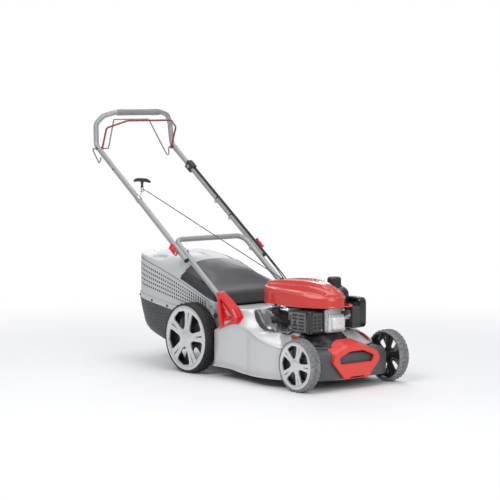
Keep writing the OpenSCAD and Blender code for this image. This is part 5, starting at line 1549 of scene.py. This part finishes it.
def make_intake():
    x1, x2 = CX + 60, CX + 166
    p = Piece("air_box")
    p.box((x1, 84, 210), (x2, 126, 293), "tray", 8, 3)
    p.ring_plate(rect(88, 216, 122, 288, 6), rect(91, 219, 119, 285, 5), place((x2, 0, 0), "x"), -1, 0.6,
                 "hub_dark", 0.5)
    # cover: a thick black frame round a grey panel, seen from the engine's side
    side = place((0, 0, 0), "y")
    out, hole = rect(x1 + 2, 207, x2, 325, 24, 7), rect(x1 + 15, 222, x2 - 13, 311, 15, 7)
    p.ring_plate(out, hole, side, -158, -124, "black_gloss", 4)
    p.prism(hole, side, -155, -133, "hub_dark", 1)
    p.prism(rect(x1 + 26, 236, x2 - 24, 300, 9), side, -134, -129, "hub_dark", 2)
    neck = [(x1 + 10, 210), (x2 - 44, 208), (x2 - 36, 224), (x2 - 60, 240), (x1 + 10, 240)]
    p.prism(rounded(neck, 6), side, -150, -122, "black", 2)
    for x in (x1 + 36, x1 + 53, x1 + 70):
        p.box((x - 2, 154, 226), (x + 2, 158, 308), "black_gloss", 1.4, 0.8, "y")
    for z in (232, 298):
        p.prism(rect(x2 - 3, z - 7, x2 + 1.6, z + 7, 1.6), side, -150, -132, "black", 0.8)
    p.done("deck", "black_plastic", "air_cleaner", sharp=36)

    p = Piece("carburettor_body")
    p.box(*by_axle((-106, 30, 244), (-64, 86, 280)), "cast", 6, 2)
    at = place((FX - 84, 62, 0), "z")
    p.lathe([(9, 222), (14, 224), (15, 226), (15, 240), (13, 244)], at, "steel", 32, True)
    p.prism(circle(5, 6, FX - 84, 62), place((0, 0, 0), "z"), 218, 223, "steel", 0.6)
    for y in (42, 74):
        p.rod(*by_axle((-66, y, 262), (-58, y, 262)), 9, "cast")
        bolt(p, place((FX - 58, y, 262), "x"), 0, 5, "steel")
    p.rod(*by_axle((-84, 60, 280), (-84, 60, 292)), 3, "steel")
    p.box(*by_axle((-96, 54, 290), (-66, 66, 293)), "plate", 2, 0.5)
    p.tube(by_axle((-84, 78, 276), (-92, 80, 292), (-110, 90, 300), (-130, 96, 310)), 3, "belt", 10, 12)
    p.done("deck", "cast_alloy", "carburettor")


def make_block():
    p = Piece("block_trim")
    p.lathe([(72.4, 282), (77, 283), (78, 286), (78, 295), (76, 297), (60, 297.4)], place((CX, 0, 0), "z"),
            "black", 72)
    for k in range(20):
        a = math.radians(18 * k + 6)
        d, e = Vector((math.cos(a), math.sin(a), 0)), Vector((-math.sin(a), math.cos(a), 0))
        p.prism(rect(0, -1.6, 6, 1.6), place(Vector((CX, 0, 216)) + d * 70, (d, e, Z)), 0, 64, "cast", 0.6)
    for a in (20, 75, 120, 165, 205, 250, 300, 340):
        x, y = CX + 76 * math.cos(math.radians(a)), 76 * math.sin(math.radians(a))
        bolt(p, place((x, y, 0), "z"), 213.6, 4.6, "steel")
    # governor and brake linkage behind the engine
    p.box(*by_crank((-116, -78, 276), (-66, -52, 279)), "plate", 5, 0.8)
    p.box(*by_crank((-128, -66, 262), (-112, -58, 292)), "black", 3, 1)
    rod = by_crank((-150, -88, 268), (-112, -80, 272), (-80, -66, 281), (-60, -70, 284))
    wire = by_crank((-142, -60, 281), (-104, -84, 283), (-70, -92, 272), (-48, -80, 262))
    p.tube(rod, 1.7, "steel", 6, 10)
    p.tube(wire, 1.5, "cable", 8, 10)
    coil = [(2 * k / 3 - 108, 3.4 * math.cos(k * 2.1) - 90, 3.4 * math.sin(k * 2.1) + 284) for k in range(60)]
    p.tube(by_crank(*coil), 0.8, "steel", 0, 6)
    p.rod(*by_crank((-120, -62, 284), (-120, -62, 294)), 6.5, "black")
    p.rod(*by_crank((-96, -64, 279), (-96, -64, 286)), 5, "steel")
    p.box(*by_crank((-178, -44, 286), (-128, -20, 296)), "black", 4, 1.5)
    p.box(*by_crank((-96, -102, 256), (-58, -92, 280)), "black", 3, 1, "y")
    p.tube(by_crank((-70, -98, 262), (-40, -104, 246), (10, -98, 238), (54, -84, 226)), 2.6, "cable", 14, 12)
    p.box(*by_crank((36, -92, 212), (58, -62, 250)), "cast", 4, 1.4)
    p.done("deck", None)


def knurled(p, at, stations, n, depth, high):
    """Black round body; stations of (radius, height, whether the grooves run there)."""
    rings = []
    for r, w, cut in stations:
        radii = [r - (depth if cut and (i // 3) % 2 else 0) for i in range(n)]
        rings.append([at(q * c, q * s, w) for q, (c, s) in zip(radii, turns(n))])
    p.loft(rings, "black", True, high)


def make_caps():
    p = Piece("oil_cap")
    low, top = Vector((CX - 28, -58, 216)), Vector((CX - 66, -112, 240))
    at = place(top, frame_along(top - low))
    knurled(p, at, ((18, -8, 1), (19, -7, 1), (19, 5, 1), (18, 7.4, 0), (15, 8, 0)), 96, 0.9, True)
    wing = [(-15, -3), (-6, -4.6), (6, -4.6), (15, -3), (15, 3), (6, 4.6), (-6, 4.6), (-15, 3)]
    p.prism(rounded(wing, 2), at, 7, 17, "black", 1.4, False)
    p.rod(top - (top - low).normalized() * 45, top, 3, "steel")
    p.done("oil_dipstick", "black_plastic", "dipstick")

    p = Piece("tank_cap_body")
    at = place((*CAP, 0), "z")
    knurled(p, at, ((26, 368, 1), (27, 369, 1), (27, 390, 1), (26.2, 392.4, 0), (24.6, 396, 0), (22, 398, 0)),
            144, 1.5, False)
    p.lathe([(22, 398), (20.6, 398), (19.8, 396.8), (12, 396.4), (10.8, 397.6), (6, 397.8)], at, "black", 48,
            False, True)
    p.done("tank_cap", "black_plastic", "fuel_cap")


make_guard()
make_head()
make_intake()
make_block()
make_caps()


# ---------------------------------------------------------------- handle fittings
LEVER_Y = 222


def make_lever(s, tag):
    p = Piece("cam_body_" + tag)
    at = place(FOLD + Y * s * LEVER_Y, (SD, Y * s, SU))
    cheek = rounded([(-8, -5.6), (6, -5.6), (18, -5), (18, 6), (4, 8), (-8, 6)], [5, 3, 2, 2, 4, 6])
    p.prism(cheek, at, 5.3, 10, "red", 0.8)
    p.prism(cheek, at, -10, -5.3, "red", 0.8)
    arm = [(10, -5), (38, -5), (46, -2), (46, 4), (38, 6), (24, 9), (10, 6)]
    p.prism(rounded(arm, [2, 6, 3, 3, 8, 12, 2]), at, -10, 10, "red", 1.6)
    for k in range(4):
        p.prism(rect(19 + 5 * k, 4, 21 + 5 * k, 9.2 - 0.6 * k, 0.8), at, -8, 8, "red", 0.5)
    p.prism(rounded([(36, -5.6), (45, -5.6), (46.4, 0), (45, 6), (36, 6)], 4), at, -14, 14, "red", 2)
    p.rod(at(0, 0, -11), at(0, 0, 11), 3, "plate")
    p.done("lever_" + tag, "bail_red", "cam_lever_" + tag)


def make_clamp():
    p = Piece("clamp_block")
    c = Vector((-585, UP_Y, FOLD.z + (FOLD.x + 585) * math.tan(SLOPE)))
    along, outer = (SU, Y, SD), (SD, SU, -Y)
    shape, bore = resample(rect(-16, -14, 20, 14, 5, 6), 56), resample(circle(11.1, 56), 56)
    for w0, w1 in ((-22, -8), (-6.5, 6.5), (8, 22)):
        p.ring_plate(shape, bore, place(c, along), w0, w1, "black", 1.6)
    p.ring_plate([(u * 0.94, v * 0.94) for u, v in shape], bore, place(c, along), -20, 20, "black", 0.5)
    knob = place(c + SU * 2 - Y * 14, outer)
    p.lathe([(6, -1), (7.4, 0), (7.4, 2.4), (6, 4)], knob, "tube", 32, True, True)
    bolt(p, place(c + SD * 14 - Y * 14, outer), 0, 3, "steel")
    for k in (-1, 1):
        p.lathe([(3.9, -26), (4.3, -23), (4.3, -21)], place(c - SU * 9 + Y * k * 3.4, along), "black", 16)
    p.done("upper_frame", "black_plastic", "cable_clamp")


def make_pull():
    p = Piece("pull_handle")
    g = Vector((-430, -170, 712))
    at = place(g, "z")
    p.lathe([(6, 0.2), (7.4, 0.6), (7.8, 2), (7.8, 6.4), (7, 7)], at, "chrome", 32)
    p.lathe([(6.4, 7), (5.4, 12), (5.2, 20), (6.6, 28), (8, 33)], at, "black", 32)
    # half of the grip: (distance from its middle, half height, half width, lift)
    half = [(57, 1.5, 2, -6), (56, 4.2, 4.6, -5.6), (50, 6.2, 6.6, -3.6), (38, 7.4, 8, -0.6),
            (22, 7.8, 8.8, 0.9), (8, 8.4, 9, 0.4)]
    stations = [(-x, *more) for x, *more in half] + [(0, 8.7, 9, 0)] + half[::-1]
    p.loft([[(g.x + x, g.y + ry * c, g.z + 37 + dz + rz * s) for c, s in turns(24)]
            for x, rz, ry, dz in stations], "black", True, True)
    p.done("pull_grip", "black_plastic", "starter_grip", sharp=50)


def make_details():
    p = Piece("tube_details")
    rivet = place(FOLD + SD * 560 - Y * 211, (SD, SU, -Y))
    p.lathe([(4.4, -1), (4.4, 0.8), (3, 1.8)], rivet, "plate", 20, False, True)
    # cable ties on the left tube
    loop = resample(rounded([(-18, -8), (-12, -10), (12, -11), (12, 11), (-12, 10), (-18, 8)], 5), 48)
    for reach in (214, 330):
        tie = place(FOLD + SD * reach + Y * UP_Y, (SU, Y, SD))
        p.ring_plate(loop, [(u * 0.93, v * 0.93) for u, v in loop], tie, -2.2, 2.2, "cable", 0.3)
    p.done("upper_frame", None)


make_lever(-1, "right")
make_lever(1, "left")
make_clamp()
make_pull()
make_details()

# ---------------------------------------------------------------- rope and cables
ROPE_R, CABLE_R, STRANDS, STRAND_PITCH = 2.0, 2.5, 3, 9.0
ROPE = [(395, -20, 352), (372, -32, 364), (345, -45, 384), (200, -69, 446), (0, -101, 531), (-200, -133, 617),
        (-400, -166, 703), (-429, -170, 710)]
ALONG_TUBE = ((-559, 790), (-420, 693), (-280, 595), (-140, 497))
BRAKE = [(x, 203, z) for x, z in ALONG_TUBE] + [
    (-60, 202, 441), (20, 202, 383), (80, 197, 342), (130, 186, 320), (180, 164, 318), (230, 138, 318),
    (270, 116, 308), (302, 102, 291), (332, 86, 284), (359, 69, 283)]
DRIVE = [(x, 196, z) for x, z in ALONG_TUBE] + [
    (-60, 195, 441), (20, 194, 382), (62, 190, 350), (98, 181, 336), (124, 173, 308), (127, 169, 270),
    (124, 169, 235), (112, 171, 208), (97, 172, 190), (82, 172, 165), (60, 166, 146), (40, 158, 136),
    (22, 149, 133)]


def smooth_path(points, step=5):
    """Catmull-Rom curve through the points, sampled about every step millimetres."""
    pts = [Vector(q) for q in points]
    pts = [pts[0] * 2 - pts[1]] + pts + [pts[-1] * 2 - pts[-2]]
    out = []
    for a, b, c, d in zip(pts, pts[1:], pts[2:], pts[3:]):
        n = max(2, int((c - b).length / step))
        for t in [i / n for i in range(n)]:
            out.append(0.5 * (2 * b + (c - a) * t + (2 * a - 5 * b + 4 * c - d) * t * t
                              + (3 * b - a - 3 * c + d) * t ** 3))
    return out + [pts[-2]]


def cord_piece(name, path, slot, bodies, start, end, *nodes):
    """One run of the twisted rope or of a plain cable, bent over from start to end between its two bodies."""
    p = Piece(name)
    rope = name.startswith("rope")
    if rope:
        for k in range(STRANDS):
            run, line = 0.0, []
            for i, q in enumerate(path):
                if i:
                    run += (q - path[i - 1]).length
                u, v, _ = frame_along((path[min(i + 1, len(path) - 1)] - path[max(0, i - 1)]).normalized())
                t = run / STRAND_PITCH + 2 * math.pi * k / STRANDS
                line.append(q + (u * math.cos(t) + v * math.sin(t)) * ROPE_R * 0.5)
            p.tube(line, ROPE_R * 0.5, "cord", 0, 7)
        p.tube(path, ROPE_R * 0.72, "cord", 0, 8)
    else:
        p.tube(path, CABLE_R, "cable", 0, 14)
    obj = p.done(None, slot, *nodes, sharp=60)
    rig.blend(obj, *bodies, start=start * MM, end=end * MM)
    length = sum((b - a).length for a, b in zip(path, path[1:]))
    thick = 2 * (ROPE_R if rope else CABLE_R)
    return obj, {"exit": path[0] * MM, "length": length * MM, "diameter": thick * MM,
                 "stiffness": "limp" if rope else "medium", "path": [q * MM for q in path]}


def halves(route):
    """The route as a smooth path, cut at the joint where the handle folds."""
    path = smooth_path(route)
    cut = min(range(len(path)), key=lambda i: abs(path[i].x - FOLD.x))
    return path[:cut + 1], path[cut:]


def make_cords():
    low, high = halves(ROPE)
    cords = [cord_piece("rope_front", low, "cord_grey", ("deck", "lower_frame"), low[0], low[-1],
                        "starter_rope"),
             cord_piece("rope_rear", high, "cord_grey", ("lower_frame", "upper_frame"), high[0], high[-1])]
    for name, route, node, still in (("brake_line", BRAKE, "brake_cable", Vector((60, 180, 60))),
                                     ("drive_line", DRIVE, "drive_cable", Vector((14, 188, 0)))):
        high, low = halves(route)
        rear = cord_piece(name + "_rear", high, "cable_black", ("upper_frame", "lower_frame"),
                          high[-1] + SD * 60, high[-1], node)
        front = cord_piece(name + "_front", low, "cable_black", ("lower_frame", "deck"),
                           PIVOT + Vector((10, 190, 90)), PIVOT + still)
        cords += [front, rear]
    for obj, facts in cords:
        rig.cord(obj, far_end="object", lay="taut", **facts)


make_cords()

# ---------------------------------------------------------------- carried-over CAD nodes
KEPT = {
    "steel": "front_axle crankshaft rear_axle fold_bolts rope_guide",
    "plate": "pivot_pins crank_pulley blade_fixings gearbox_pulley",
    "cast": "gearbox engine_block flywheel",
    "black": "discharge_chute filler_tube starter_drum",
    "tube": "handle_lugs", "belt": "drive_belt", "heat": "muffler", "blade": "blade"}
for key, nodes in KEPT.items():
    for node in nodes.split():
        data = NODES[node].data
        data.materials.clear()
        data.materials.append(M[key])
        for face in data.polygons:
            face.material_index = 0
with open("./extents.json", "w") as handle:
    json.dump([CAD_BOX, [list(c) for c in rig.bounds()]], handle)
